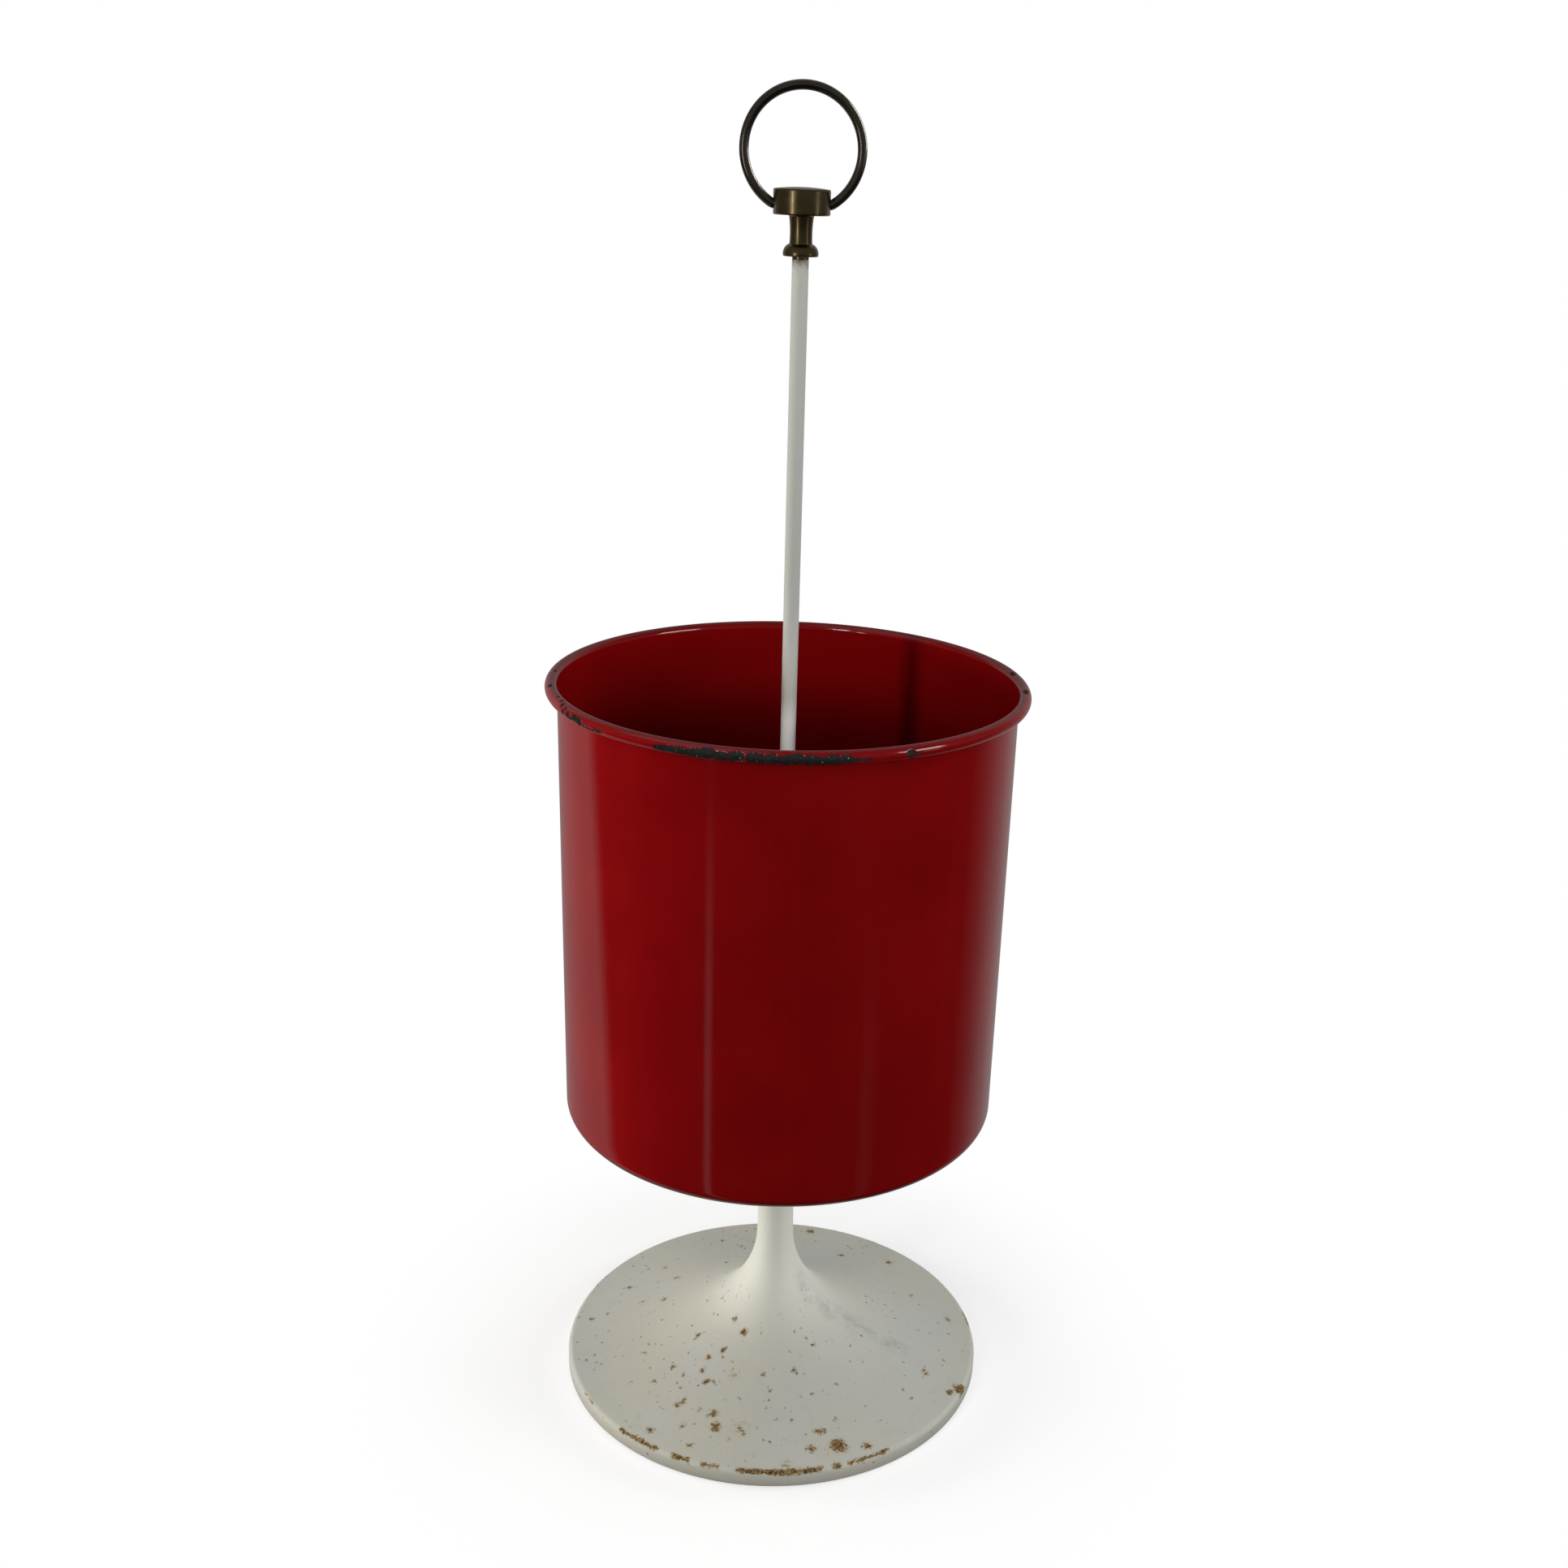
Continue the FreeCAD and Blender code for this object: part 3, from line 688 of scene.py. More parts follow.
def cross_drill(piece):
    """Cuts the two blind holes for the carrying ring's ends into the finial's head."""
    core, far_end = 0.5 * MM, HEAD_RADIUS + 2.5 * MM
    outline = [(core, PIN_HOLE_INNER), (WIRE_RADIUS + PIN_PLAY, PIN_HOLE_INNER),
               (WIRE_RADIUS + PIN_PLAY, PIN_MOUTH_INNER), (PIN_MOUTH_RADIUS, HEAD_RADIUS),
               (PIN_MOUTH_RADIUS, far_end), (core, far_end)]
    for side in (1, -1):
        tool = lathe("drill", outline, 64, on_axis=True)
        across = Matrix.Rotation(math.radians(90 * side), 4, "Y")
        tool.data.transform(Matrix.Translation((0, 0, PIVOT_HEIGHT)) @ across)
        cut = piece.modifiers.new("drill", "BOOLEAN")
        cut.object = tool
        cut.solver = "EXACT"
        bpy.context.view_layer.update()
        result = piece.evaluated_get(bpy.context.evaluated_depsgraph_get())
        drilled = bpy.data.meshes.new_from_object(result)
        piece.modifiers.clear()
        piece.data = drilled
        bpy.data.objects.remove(tool)
    piece.data.shade_smooth()
    piece.data.set_sharp_from_angle(angle=CREASE)


def head():
    low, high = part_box("finial_head")
    radius, top = high.x, high.z - HEAD_CROWN
    rim = radius - HEAD_ROUND
    crown = (rim**2 + HEAD_CROWN**2) / (2 * HEAD_CROWN)
    centre = (0, high.z - crown)
    outline = joined(
        [(STUD_BORE / 2, HEAD_THREAD_TOP), (STUD_BORE, HEAD_THREAD_TOP), (STUD_BORE, low.z)],
        straight((STUD_BORE, low.z), (rim, low.z), 2),
        bend((rim, low.z + HEAD_ROUND), HEAD_ROUND, -90, 0, 0.15),
        straight((radius, low.z + HEAD_ROUND), (radius, top - HEAD_ROUND), 1.2),
        bend((rim, top - HEAD_ROUND), HEAD_ROUND, 0, 90, 0.15),
        bend(centre, crown, math.degrees(math.acos(rim / crown)), 89.7, 1),
    )
    piece = lathe("brass_head", outline, 180, on_axis=True)
    cross_drill(piece)
    dress(piece, "finial_head", turned_brass())


def ring_path():
    """The middle line of the carrying ring's wire, from its left pin round the top to its right pin."""
    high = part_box("handle_ring")[1]
    radius = high.x - WIRE_RADIUS
    centre = (0, high.z - high.x)
    drop = centre[1] - PIVOT_HEIGHT - PIN_BEND
    bend_x = math.sqrt((radius - PIN_BEND) ** 2 - drop**2)
    join = math.degrees(math.atan2(-drop, bend_x))
    half = joined(
        straight((PIN_INNER, PIVOT_HEIGHT), (bend_x, PIVOT_HEIGHT), 0.6),
        bend((bend_x, PIVOT_HEIGHT + PIN_BEND), PIN_BEND, -90, join, 0.5),
        bend(centre, radius, join, 90, 0.4),
    )
    return [(-x, z) for x, z in half[:-1]] + half[::-1]


def carrying_ring():
    path = ring_path()
    sides = 56
    points = []
    for i, (x, z) in enumerate(path):
        before, after = path[max(i - 1, 0)], path[min(i + 1, len(path) - 1)]
        along = Vector((after[0] - before[0], 0, after[1] - before[1])).normalized()
        aside = Vector((0, 1, 0))
        out = aside.cross(along)
        wire = WIRE_RADIUS - (PIN_CHAMFER if i in (0, len(path) - 1) else 0)
        for side in range(sides):
            turn = 2 * math.pi * side / sides
            round_wire = math.cos(turn) * out + math.sin(turn) * aside
            points.append(Vector((x, 0, z)) + wire * round_wire)
    faces = grid_faces(0, len(path), sides, False)
    faces.append(tuple(reversed(range(sides))))
    faces.append(tuple(range(len(points) - sides, len(points))))
    piece = new_piece("brass_ring", points, faces)
    dress(piece, "handle_ring", wire_brass(), "ring")
    return piece


# Materials

class Nodes:
    """Short calls that add nodes to a tree and link them."""

    def __init__(self, tree):
        self.tree = tree

    def feed(self, socket, value):
        if isinstance(value, bpy.types.NodeSocket):
            self.tree.links.new(value, socket)
        else:
            socket.default_value = value

    def add(self, kind, inputs=None, **settings):
        node = self.tree.nodes.new("ShaderNode" + kind)
        for name, value in settings.items():
            setattr(node, name, value)
        for name, value in (inputs or {}).items():
            self.feed(node.inputs[name], value)
        return node

    def math(self, operation, a, b=0.0):
        return self.add("Math", {0: a, 1: b}, operation=operation).outputs[0]

    def plus(self, a, b):
        return self.math("ADD", a, b)

    def times(self, a, b):
        return self.math("MULTIPLY", a, b)

    def step(self, value, low, high, to=1.0, start=0.0):
        """A smooth rise from start to another level while the value goes from low to high."""
        inputs = {"Value": value, "From Min": low, "From Max": high, "To Min": start, "To Max": to}
        return self.add("MapRange", inputs, interpolation_type="SMOOTHSTEP").outputs["Result"]

    def between(self, factor, a, b):
        """A mix of two numbers."""
        return self.add("Mix", {0: factor, 2: a, 3: b}, data_type="FLOAT").outputs[0]


class Paint(Nodes):
    """A material being built. Sockets that are even all over are set by name."""

    def __init__(self, name, **sockets):
        self.material = bpy.data.materials.new(name)
        self.material.use_nodes = True
        super().__init__(self.material.node_tree)
        self.shader = self.tree.nodes["Principled BSDF"]
        self.place = self.add("TexCoord").outputs["Object"]
        for socket, value in sockets.items():
            self.feed(self.shader.inputs[socket.replace("_", " ")], value)

    def noise(self, size, detail=2.0, roughness=0.5, place=None):
        """Noise from 0 to 1 with features of a size (mm)."""
        inputs = {"Vector": place or self.place, "Scale": 1 / (size * MM)}
        inputs.update({"Detail": detail, "Roughness": roughness})
        return self.add("TexNoise", inputs).outputs["Fac"]

    def patches(self, size, detail, roughness, low, high, to=1.0, start=0.0):
        """Patches of a size (mm): noise, with a smooth step between two of its values."""
        return self.step(self.noise(size, detail, roughness), low, high, to, start)

    def cells(self, size, place=None):
        """Distance to the nearest of points scattered about a size (mm) apart, in units of that size."""
        inputs = {"Vector": place or self.place, "Scale": 1 / (size * MM)}
        return self.add("TexVoronoi", inputs).outputs["Distance"]

    def field(self, name):
        return self.add("Attribute", attribute_name=name).outputs["Fac"]

    def mix(self, factor, a, b):
        """A mix of two colours."""
        node = self.add("Mix", {0: factor}, data_type="RGBA")
        self.feed(node.inputs[6], a)
        self.feed(node.inputs[7], b)
        return node.outputs[2]

    def jitter(self, size, reach):
        """The object's coordinates, moved at random by up to about half the reach (mm), smoothly."""
        inputs = {"Vector": self.place, "Scale": 1 / (size * MM)}
        colour = self.add("TexNoise", inputs).outputs["Color"]
        shift = self.add("VectorMath", {0: colour, 1: [reach * MM] * 3}, operation="MULTIPLY").outputs[0]
        return self.add("VectorMath", {0: self.place, 1: shift}, operation="ADD").outputs[0]

    def stretch(self, x, y, z):
        inputs = {"Vector": self.place, "Scale": (x, y, z)}
        return self.add("Mapping", inputs).outputs["Vector"]

    def bump(self, height, distance, strength, below=None):
        """Relief of a distance in millimetres, on top of the relief below."""
        inputs = {"Height": height, "Distance": distance * MM, "Strength": strength}
        if below:
            inputs["Normal"] = below
        return self.add("Bump", inputs).outputs["Normal"]

    def finish(self, colour, roughness, normal=None, metallic=None):
        ends = {"Base Color": colour, "Roughness": roughness, "Normal": normal, "Metallic": metallic}
        for socket, value in ends.items():
            if value is not None:
                self.feed(self.shader.inputs[socket], value)
        return self.material


def rgb(red, green, blue):
    return (red, green, blue, 1.0)


def enamel():
    """Glossy deep red enamel, with bare dark iron where it has chipped, and painted light and shadow
    inside.
    """
    p = Paint("red_enamel", IOR=1.5, Specular_IOR_Level=0.42)
    cloudy = p.noise(60, 3, 0.55)
    grain = p.noise(0.9, 2, 0.6)
    streaks = p.noise(20, 2, 0.5, p.stretch(1, 1, 0.08))
    red = p.mix(p.step(cloudy, 0.35, 0.68), rgb(0.245, 0.0016, 0.0030), rgb(0.285, 0.0024, 0.0034))
    red = p.mix(p.step(grain, 0.35, 0.7, 0.22), red, rgb(0.20, 0.001, 0.002))
    red = p.mix(p.step(streaks, 0.5, 0.72, 0.16), red, rgb(0.31, 0.006, 0.005))
    height = p.add("SeparateXYZ", {0: p.place}).outputs["Z"]
    # Painted light high on the inside wall, and the front rim's painted shadow below it.
    painted_inside_light = p.times(p.field("inside"), p.step(height, *INSIDE_PAINTED_LIGHT, 0.75))
    painted_inside_shadow = p.times(p.field("inside"), p.step(height, *INSIDE_PAINTED_SHADOW, 0.65))
    red = p.mix(painted_inside_light, red, rgb(0.36, 0.003, 0.005))
    red = p.mix(painted_inside_shadow, red, rgb(0.11, 0.001, 0.002))
    ragged = p.times(p.math("SUBTRACT", p.noise(1.3, 4, 0.7), 0.5), 1.7)
    chip = p.plus(p.field("chip"), ragged)
    border = p.step(chip, -0.16, 0.02)
    bare = p.step(chip, 0.0, 0.1)
    rough_iron = p.noise(0.9, 4, 0.7)
    colour = p.mix(border, red, rgb(0.105, 0.006, 0.008))
    colour = p.mix(bare, colour, bare_iron(p, rough_iron))
    gloss = p.patches(7, 3, 0.6, 0.3, 0.75, 0.11, 0.065)
    roughness = p.step(bare, 0, 1, 0.72, gloss)
    peel = p.bump(p.noise(3.2, 2, 0.5), 0.006, 0.6)
    normal = p.bump(p.times(rough_iron, bare), 0.14, 0.9, peel)
    return p.finish(colour, roughness, normal)


def bare_iron(p, rough_iron):
    """Blackened iron under the enamel, with brown patches and a few painted glints."""
    iron = p.mix(p.step(rough_iron, 0.38, 0.68), rgb(0.002, 0.003, 0.003), rgb(0.019, 0.023, 0.020))
    iron = p.mix(p.patches(2.2, 3, 0.6, 0.55, 0.68, 0.6), iron, rgb(0.050, 0.026, 0.014))
    # Painted highlights: a few near-white specks stand in for glints on the bare iron.
    painted_glint = p.times(p.step(p.cells(1.5), 0.17, 0.10), p.step(p.noise(4, 1), 0.51, 0.56))
    return p.mix(painted_glint, iron, rgb(0.85, 0.85, 0.80))


def lacquer_base(p, cream, cool):
    """Off-white lacquer over uneven metal: two tones, a fine grain and faint grey dirt."""
    colour = p.mix(p.patches(55, 3, 0.5, 0.36, 0.66), cream, cool)
    colour = p.mix(p.patches(9, 4, 0.6, 0.46, 0.78, 0.22), colour, rgb(0.50, 0.48, 0.41))
    return p.mix(p.patches(0.8, 3, 0.6, 0.42, 0.72, 0.14), colour, rgb(0.48, 0.46, 0.39))


def specks(p, colour, across, height):
    """Small dark specks of uneven size on the foot's dish, more of them to the left."""
    left_side = p.step(across, 90 * MM, -50 * MM, 0.10)
    patch = p.step(p.plus(p.noise(30, 2, 0.5), left_side), 0.43, 0.56)
    patch = p.times(patch, p.step(height, 60 * MM, 40 * MM))
    warped = p.jitter(1.5, 3.0)
    spread = p.plus(p.cells(5.0, warped), p.times(p.noise(8, 2, 0.5), 0.75))
    dots = p.step(spread, 0.55, 0.45)
    dots = p.times(dots, p.patches(1.1, 2, 0.6, 0.42, 0.54))
    dots = p.times(dots, patch)
    colour = p.mix(p.times(dots, 0.85), colour, rgb(0.20, 0.155, 0.085))
    fine = p.step(p.cells(4.2, warped), 0.10, 0.05)
    fine = p.times(fine, p.patches(16, 2, 0.5, 0.5, 0.62))
    return p.mix(p.times(fine, 0.55), colour, rgb(0.26, 0.24, 0.19))


def rusted(p, colour):
    """The colour with rust, its pale halo and its dark heart, and how far the rust covers it."""
    ragged = p.times(p.math("SUBTRACT", p.noise(1.9, 5, 0.75), 0.5), 3.2)
    field = p.plus(p.field("rust"), ragged)
    halo = p.step(field, -0.35, 0.25)
    core = p.step(field, 0.14, 0.40)
    deep = p.times(p.step(field, 0.50, 0.95), p.step(p.noise(0.9, 2), 0.42, 0.62))
    tone = p.patches(1.3, 3, 0.6, 0.36, 0.64)
    rust = p.mix(tone, rgb(0.175, 0.105, 0.040), rgb(0.37, 0.265, 0.130))
    colour = p.mix(p.times(halo, 0.5), colour, rgb(0.46, 0.395, 0.25))
    colour = p.mix(core, colour, rust)
    return p.mix(deep, colour, rgb(0.050, 0.024, 0.012)), core


def foot_lacquer():
    """Satin off-white lacquer on cast iron, with rust, dark specks, a grey patch and painted light up the
    neck.
    """
    p = Paint("foot_lacquer", IOR=1.47, Specular_IOR_Level=0.35)
    colour = lacquer_base(p, rgb(0.605, 0.595, 0.51), rgb(0.595, 0.60, 0.55))
    across, _, height = p.add("SeparateXYZ", {0: p.place}).outputs
    # Painted light up the neck under the pail.
    colour = p.mix(p.step(height, *NECK_PAINTED_LIGHT, 0.9), colour, rgb(0.81, 0.81, 0.72))
    # A greyer band to the right of the neck.
    grey_patch = p.times(p.field("grey_patch"), p.patches(9, 4, 0.65, 0.34, 0.66))
    colour = p.mix(p.times(grey_patch, 0.6), colour, rgb(0.40, 0.40, 0.385))
    colour = specks(p, colour, across, height)
    low = p.plus(height, p.times(p.noise(6, 4, 0.7), -5 * MM))
    colour = p.mix(p.step(low, 6 * MM, -1 * MM, 0.4), colour, rgb(0.40, 0.33, 0.26))
    colour, core = rusted(p, colour)
    satin = p.patches(6, 3, 0.6, 0.3, 0.7, 0.50, 0.38)
    roughness = p.step(core, 0, 1, 0.85, satin)
    cast = p.bump(p.noise(5.5, 3, 0.55), 0.05, 0.5)
    grain = p.bump(p.noise(0.7, 3, 0.6), 0.02, 0.5, cast)
    normal = p.bump(p.times(core, p.noise(0.5, 3, 0.7)), 0.10, 0.8, grain)
    return p.finish(colour, roughness, normal)


def rod_lacquer():
    """The same lacquer on the rod, with grime at its top, grey threads, a few small dark marks and painted
    light near the pail's rim.
    """
    p = Paint("rod_lacquer", IOR=1.47, Specular_IOR_Level=0.4)
    colour = lacquer_base(p, rgb(0.475, 0.48, 0.43), rgb(0.47, 0.48, 0.45))
    height = p.add("SeparateXYZ", {0: p.place}).outputs["Z"]
    # Painted light on the rod near and below the pail's rim.
    painted_rod_light = p.plus(*[p.step(height, *zone) for zone in ROD_PAINTED_LIGHT])
    colour = p.mix(painted_rod_light, colour, rgb(0.93, 0.90, 0.85))
    shaded = p.plus(height, p.times(p.noise(2.5, 4, 0.7), 14 * MM))
    grime = p.step(shaded, ROD_SHOULDER + 1 * MM, ROD_SHOULDER + 9 * MM, 0.85)
    colour = p.mix(grime, colour, rgb(0.17, 0.125, 0.075))
    threads = p.step(height, FLOOR_THREAD[1] + 0.5 * MM, FLOOR_THREAD[1] - 0.5 * MM, 0.85)
    colour = p.mix(threads, colour, rgb(0.30, 0.29, 0.27))
    marks = p.times(p.step(p.cells(9), 0.07, 0.03), p.step(p.noise(30, 2), 0.46, 0.56))
    colour = p.mix(p.times(marks, 0.8), colour, rgb(0.12, 0.10, 0.08))
    runs = p.step(p.noise(6, 3, 0.6, p.stretch(1, 1, 0.12)), 0.52, 0.75, 0.35)
    colour = p.mix(runs, colour, rgb(0.47, 0.43, 0.34))
    roughness = p.patches(5, 3, 0.6, 0.3, 0.7, 0.46, 0.30)
    normal = p.bump(p.noise(4, 3, 0.5, p.stretch(1, 1, 0.3)), 0.03, 0.5)
    return p.finish(colour, roughness, normal)


def patina(p, dark, light, size):
    """Two tones of tarnished brass with small darker spots."""
    colour = p.mix(p.patches(size, 3, 0.5, 0.32, 0.70), dark, light)
    return p.mix(p.patches(3, 3, 0.6, 0.56, 0.76, 0.3), colour, rgb(0.050, 0.038, 0.018))


@cache
def turned_brass():
    """Aged brass with the fine rings that a lathe tool leaves."""
    p = Paint("turned_brass", Metallic=1.0, Coat_Weight=0.4, Coat_Roughness=0.12)
    colour = patina(p, rgb(0.190, 0.135, 0.056), rgb(0.250, 0.184, 0.082), 6)
    lines = p.noise(0.7, 2, 0.6, p.stretch(0.02, 0.02, 1))
    colour = p.mix(p.step(lines, 0.38, 0.7, 0.16), colour, rgb(0.130, 0.098, 0.040))
    roughness = p.step(p.plus(p.noise(4, 2), p.times(lines, 0.3)), 0.4, 0.9, 0.33, 0.25)
    return p.finish(colour, roughness, p.bump(lines, 0.0004, 0.2))


def wire_brass():
    """Drawn brass wire, darker than the turned parts."""
    p = Paint("wire_brass", Metallic=1.0, Coat_Weight=0.9, Coat_Roughness=0.17, Coat_IOR=1.9)
    colour = patina(p, rgb(0.085, 0.062, 0.036), rgb(0.130, 0.095, 0.054), 8)
    roughness = p.patches(6, 2, 0.5, 0.3, 0.7, 0.30, 0.25)
    return p.finish(colour, roughness)


def zinc():
    """Dull zinc plate on the nuts and washers, with a trace of white bloom and rust."""
    p = Paint("zinc_plate", Metallic=1.0)
    tone = p.patches(3, 4, 0.6, 0.35, 0.7)
    colour = p.mix(tone, rgb(0.36, 0.37, 0.37), rgb(0.52, 0.53, 0.52))
    bloom = p.patches(1.4, 4, 0.7, 0.56, 0.72, 0.6)
    colour = p.mix(bloom, colour, rgb(0.33, 0.31, 0.27))
    rust = p.patches(4.5, 5, 0.7, 0.60, 0.70, 0.8)
    colour = p.mix(rust, colour, rgb(0.19, 0.085, 0.03))
    roughness = p.step(p.plus(bloom, rust), 0, 1, 0.75, 0.34)
    metallic = p.step(p.plus(bloom, rust), 0, 1, 0.2, 1.0)
    normal = p.bump(p.noise(0.5, 3, 0.6), 0.02, 0.6)
    return p.finish(colour, roughness, normal, metallic)


def felt():
    """Worn grey-green wool felt."""
    p = Paint("felt", Specular_IOR_Level=0.1, Sheen_Weight=0.5, Sheen_Roughness=0.6)
    fibres = p.noise(0.35, 4, 0.75, p.stretch(1, 1, 2.5))
    tone = p.patches(7, 3, 0.6, 0.35, 0.7)
    colour = p.mix(tone, rgb(0.050, 0.062, 0.048), rgb(0.105, 0.112, 0.090))
    colour = p.mix(p.step(fibres, 0.45, 0.75, 0.5), colour, rgb(0.19, 0.19, 0.16))
    return p.finish(colour, p.step(fibres, 0.3, 0.7, 0.98, 0.86), p.bump(fibres, 0.15, 0.9))


# Stage, light and camera

def floor():
    """A pale floor that keeps only the softest shadow and fades into the bright background."""
    mesh = bpy.data.meshes.new("floor")
    corners = [(x * FLOOR_SIZE, y * FLOOR_SIZE, 0) for x, y in ((-1, -1), (1, -1), (1, 1), (-1, 1))]
    mesh.from_pydata(corners, [], [(0, 1, 2, 3)])
    mesh.materials.append(floor_paint())
    ground = placed("floor", mesh)
    ground.visible_diffuse = False
    ground.visible_glossy = False


def floor_paint():
    p = Paint("pale_floor", Base_Color=rgb(0.62, 0.62, 0.62), Roughness=1.0, Specular_IOR_Level=0.0,
              Emission_Color=rgb(1, 1, 1), Emission_Strength=FLOOR_GLOW)
    distance = p.add("VectorMath", {0: p.place}, operation="LENGTH").outputs["Value"]
    bright = p.add("Emission").outputs[0]
    inputs = {0: p.step(distance, *FLOOR_FADE), 1: p.shader.outputs[0], 2: bright}
    blend = p.add("MixShader", inputs).outputs[0]
    p.feed(p.tree.nodes["Material Output"].inputs["Surface"], blend)
    return p.material


def world():
    """A white background. What lights the stand is an even grey, and what it reflects is a dim room:
    a pale wall behind and to the left, darkness in front and below, and streaks of light on the ground."""
    studio = bpy.data.worlds.new("studio")
    scene.world = studio
    studio.cycles.sampling_method = "NONE"
    studio.use_nodes = True
    studio.node_tree.nodes.clear()
    n = Nodes(studio.node_tree)
    direction = n.add("TexCoord").outputs["Generated"]
    x, y, z = n.add("SeparateXYZ", {0: direction}).outputs
    azimuth = n.times(n.math("ARCTAN2", x, n.times(y, -1.0)), math.degrees(1))
    room = n.math("MAXIMUM", room_wall(n, azimuth, x, z), n.step(z, *HAZE))
    room = n.plus(room, ground_streaks(n, azimuth, z))
    path = n.add("LightPath")
    lit = n.between(path.outputs["Is Glossy Ray"], n.step(z, *AMBIENT), room)
    strength = n.between(path.outputs["Is Camera Ray"], lit, 1.0)
    background = n.add("Background", {"Color": rgb(1, 1, 1), "Strength": strength})
    n.add("OutputWorld", {"Surface": background.outputs[0]})


def room_wall(n, azimuth, x, z):
    """Brightness of the room by direction, from WALL_LEVELS."""
    slant = n.times(n.plus(n.math("MINIMUM", z, 0.0), -WALL_HEIGHT), WALL_SLANT)
    slanting = n.plus(azimuth, n.times(slant, n.math("LESS_THAN", x, 0.0)))
    inputs = {"Value": slanting, "From Min": -180.0, "From Max": 180.0}
    wall = n.add("ValToRGB", {0: n.add("MapRange", inputs).outputs[0]})
    stops = wall.color_ramp.elements
    for degrees, level in WALL_LEVELS:
        place = (degrees + 180) / 360
        stop = stops[-1 if place else 0] if place in (0, 1) else stops.new(place)
        stop.color = rgb(level, level, level)
    return wall.outputs["Color"]


def ground_streaks(n, azimuth, z):
    """Brightness of the streaks of light on the ground by direction."""
    streaks = 0.0
    for degrees, width, low, high, level in GROUND_STREAKS:
        off = n.math("ABSOLUTE", n.math("SUBTRACT", azimuth, degrees))
        streak = n.times(n.step(off, width, 0.3 * width, level), n.step(z, low, high))
        streaks = n.plus(streak, streaks)
    return streaks


def panel(name, azimuth, elevation, distance, width, height, strength,
          colour=(1, 1, 1), shows="lit", only=None):
    """A soft rectangular light that faces the middle of the stand. Its strength is its face's brightness.
    It lights what isn't brass (lit) or shows in what is glossy (mirrored), or is kept to one piece."""
    centre = (cad_box[0] + cad_box[1]) / 2
    turn, rise = math.radians(azimuth), math.radians(elevation)
    towards = Vector((math.sin(turn) * math.cos(rise), -math.cos(turn) * math.cos(rise), math.sin(rise)))
    light = bpy.data.lights.new(name, "AREA")
    light.shape = "RECTANGLE"
    light.size, light.size_y = width, height
    light.energy = strength * math.pi * width * height
    light.color = colour
    lamp = placed(name, light)
    lamp.location = centre + towards * distance
    lamp.rotation_euler = towards.to_track_quat("Z", "Y").to_euler()
    lamp.visible_diffuse = shows == "lit"
    lamp.visible_glossy = shows == "mirrored"
    if only or shows == "lit":
        receivers = bpy.data.collections.new(name + "_receivers")
        for piece in [only] if only else not_brass():
            receivers.objects.link(piece)
        lamp.light_linking.receiver_collection = receivers


def not_brass():
    """Every mesh that isn't brass, whose metal has nothing matt for a lamp to light."""
    meshes = [piece for piece in scene.objects if piece.type == "MESH"]
    return [piece for piece in meshes if "brass" not in piece.name]


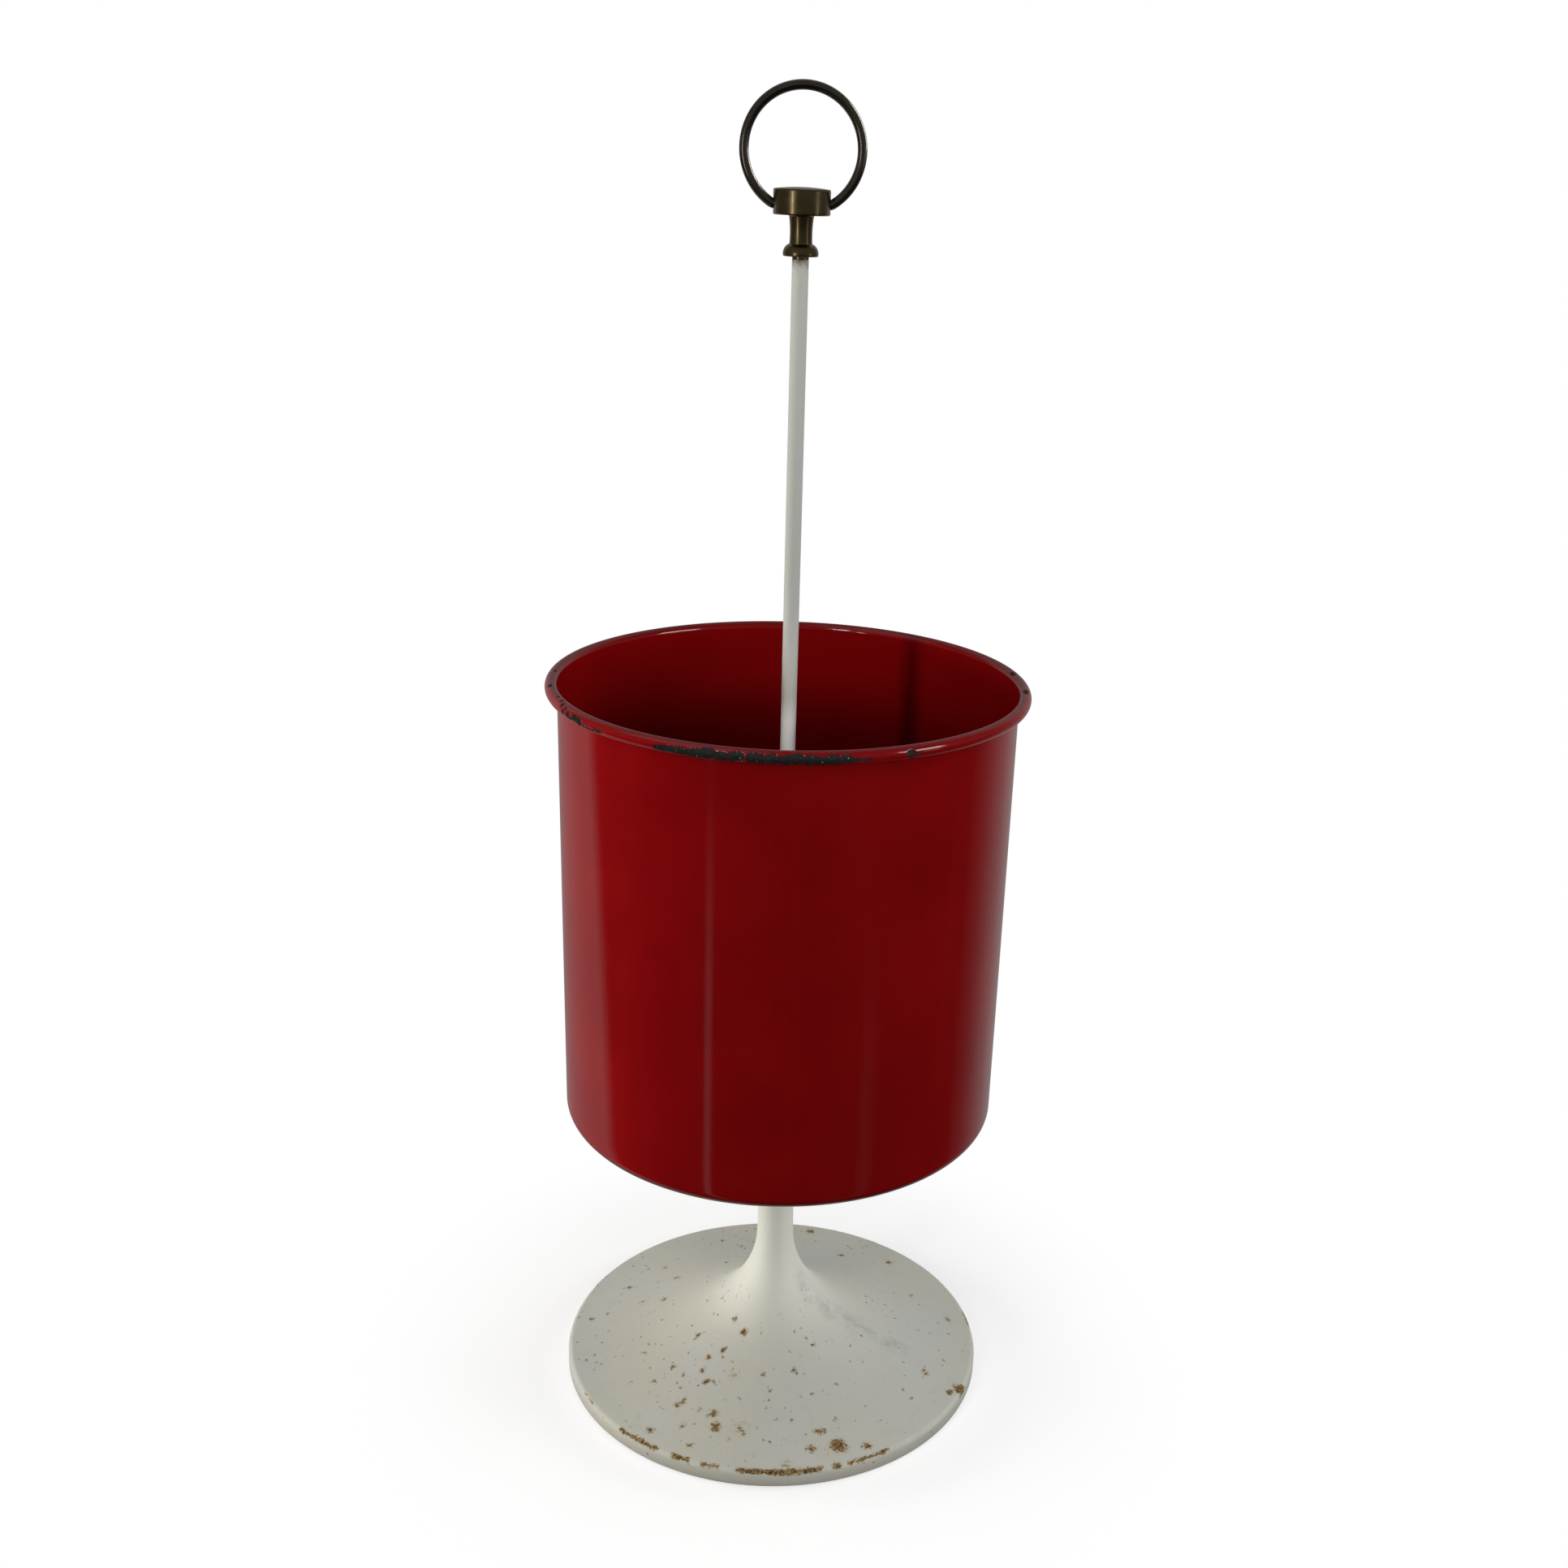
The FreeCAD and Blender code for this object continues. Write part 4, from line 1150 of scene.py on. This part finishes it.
def lights(pail_piece, foot_piece, rod_piece, ring_piece):
    """Windows and soft sides that light the stand, fills for single pieces, and panels for highlights."""
    warm, cold = (1.0, 0.99, 0.96), (0.95, 0.98, 1.0)
    panel("narrow_window", -36, 24, 2.4, 0.16, 2.6, 8.5, warm)
    panel("key", -36, 26, 1.4, 0.14, 0.6, 7.6, warm)
    panel("wide_window", 60, 45, 1.0, 0.25, 0.35, 3.4, cold)
    panel("left_side", -100, -3, 1.6, 1.0, 0.5, 14.5, (1.0, 0.98, 0.94))
    panel("right_side", 105, 4, 1.6, 1.0, 0.7, 6.0, (0.96, 0.98, 1.0))
    panel("right_fill", 32, 17, 0.95, 0.4, 0.2, 4.4)
    panel("rim_fill", -8, 5, 0.9, 0.6, 0.12, 2.4)
    panel("foot_fill", 22, 12, 1.2, 0.5, 0.3, 7.0, only=foot_piece)
    panel("foot_back_fill", 175, 8, 1.2, 0.8, 0.2, 8.0, only=foot_piece)
    panel("rod_fill", 0, 42, 1.2, 0.3, 0.3, 14.0, only=rod_piece)
    panel("narrow_glass", -38, 4, 2.4, 0.14, 0.8, 10.0, warm, shows="mirrored")
    panel("wide_glass", 66, 4, 2.4, 0.35, 0.8, 0.9, cold, shows="mirrored")
    panel("left_rim_glint", -28, 24, 2.4, 0.35, 0.6, 14.0, shows="mirrored", only=pail_piece)
    panel("right_rim_glint", 64, 24, 2.4, 0.9, 0.6, 10.0, cold, shows="mirrored", only=pail_piece)
    panel("rim_sheen", -70, 60, 1.5, 1.2, 1.2, 0.5, (0.95, 0.85, 1.0), shows="mirrored", only=pail_piece)
    panel("ring_glint", 110, 28, 2.4, 0.24, 1.6, 19.0, cold, shows="mirrored", only=ring_piece)


def camera():
    """The camera stands before the stand, a little over the pail's rim, and looks down at it."""
    pitch, yaw, roll = CAMERA_TURN
    ahead = Vector((math.sin(yaw) * math.cos(pitch), math.cos(yaw) * math.cos(pitch), -math.sin(pitch)))
    right = ahead.cross(Vector((0, 0, 1))).normalized()
    up = right.cross(ahead)
    across = math.cos(roll) * right + math.sin(roll) * up
    upward = math.cos(roll) * up - math.sin(roll) * right
    turn = Matrix((across, upward, -ahead)).transposed().to_4x4()
    eye = placed("camera", bpy.data.cameras.new("camera"))
    eye.matrix_world = Matrix.Translation(CAMERA_PLACE) @ turn
    eye.data.sensor_width = 36.0
    eye.data.lens = CAMERA_LENS
    eye.data.shift_x, eye.data.shift_y = CAMERA_SHIFT
    scene.camera = eye


def carry_over():
    """Gives the CAD nuts and washers, whose shapes are right, their finish."""
    finish = zinc()
    for node in ("hex_nuts", "spring_washers", "hub_washer", "floor_washer"):
        mesh = frame["nodes"][node].data
        mesh.materials.clear()
        mesh.materials.append(finish)


red_pail = pail()
white_foot = foot()
felt_ring()
rubber_rings()
white_rod = rod()
ferrule()
neck()
head()
brass_ring = carrying_ring()
carry_over()
floor()
world()
lights(red_pail, white_foot, white_rod, brass_ring)
camera()
scene.view_settings.view_transform = "Standard"
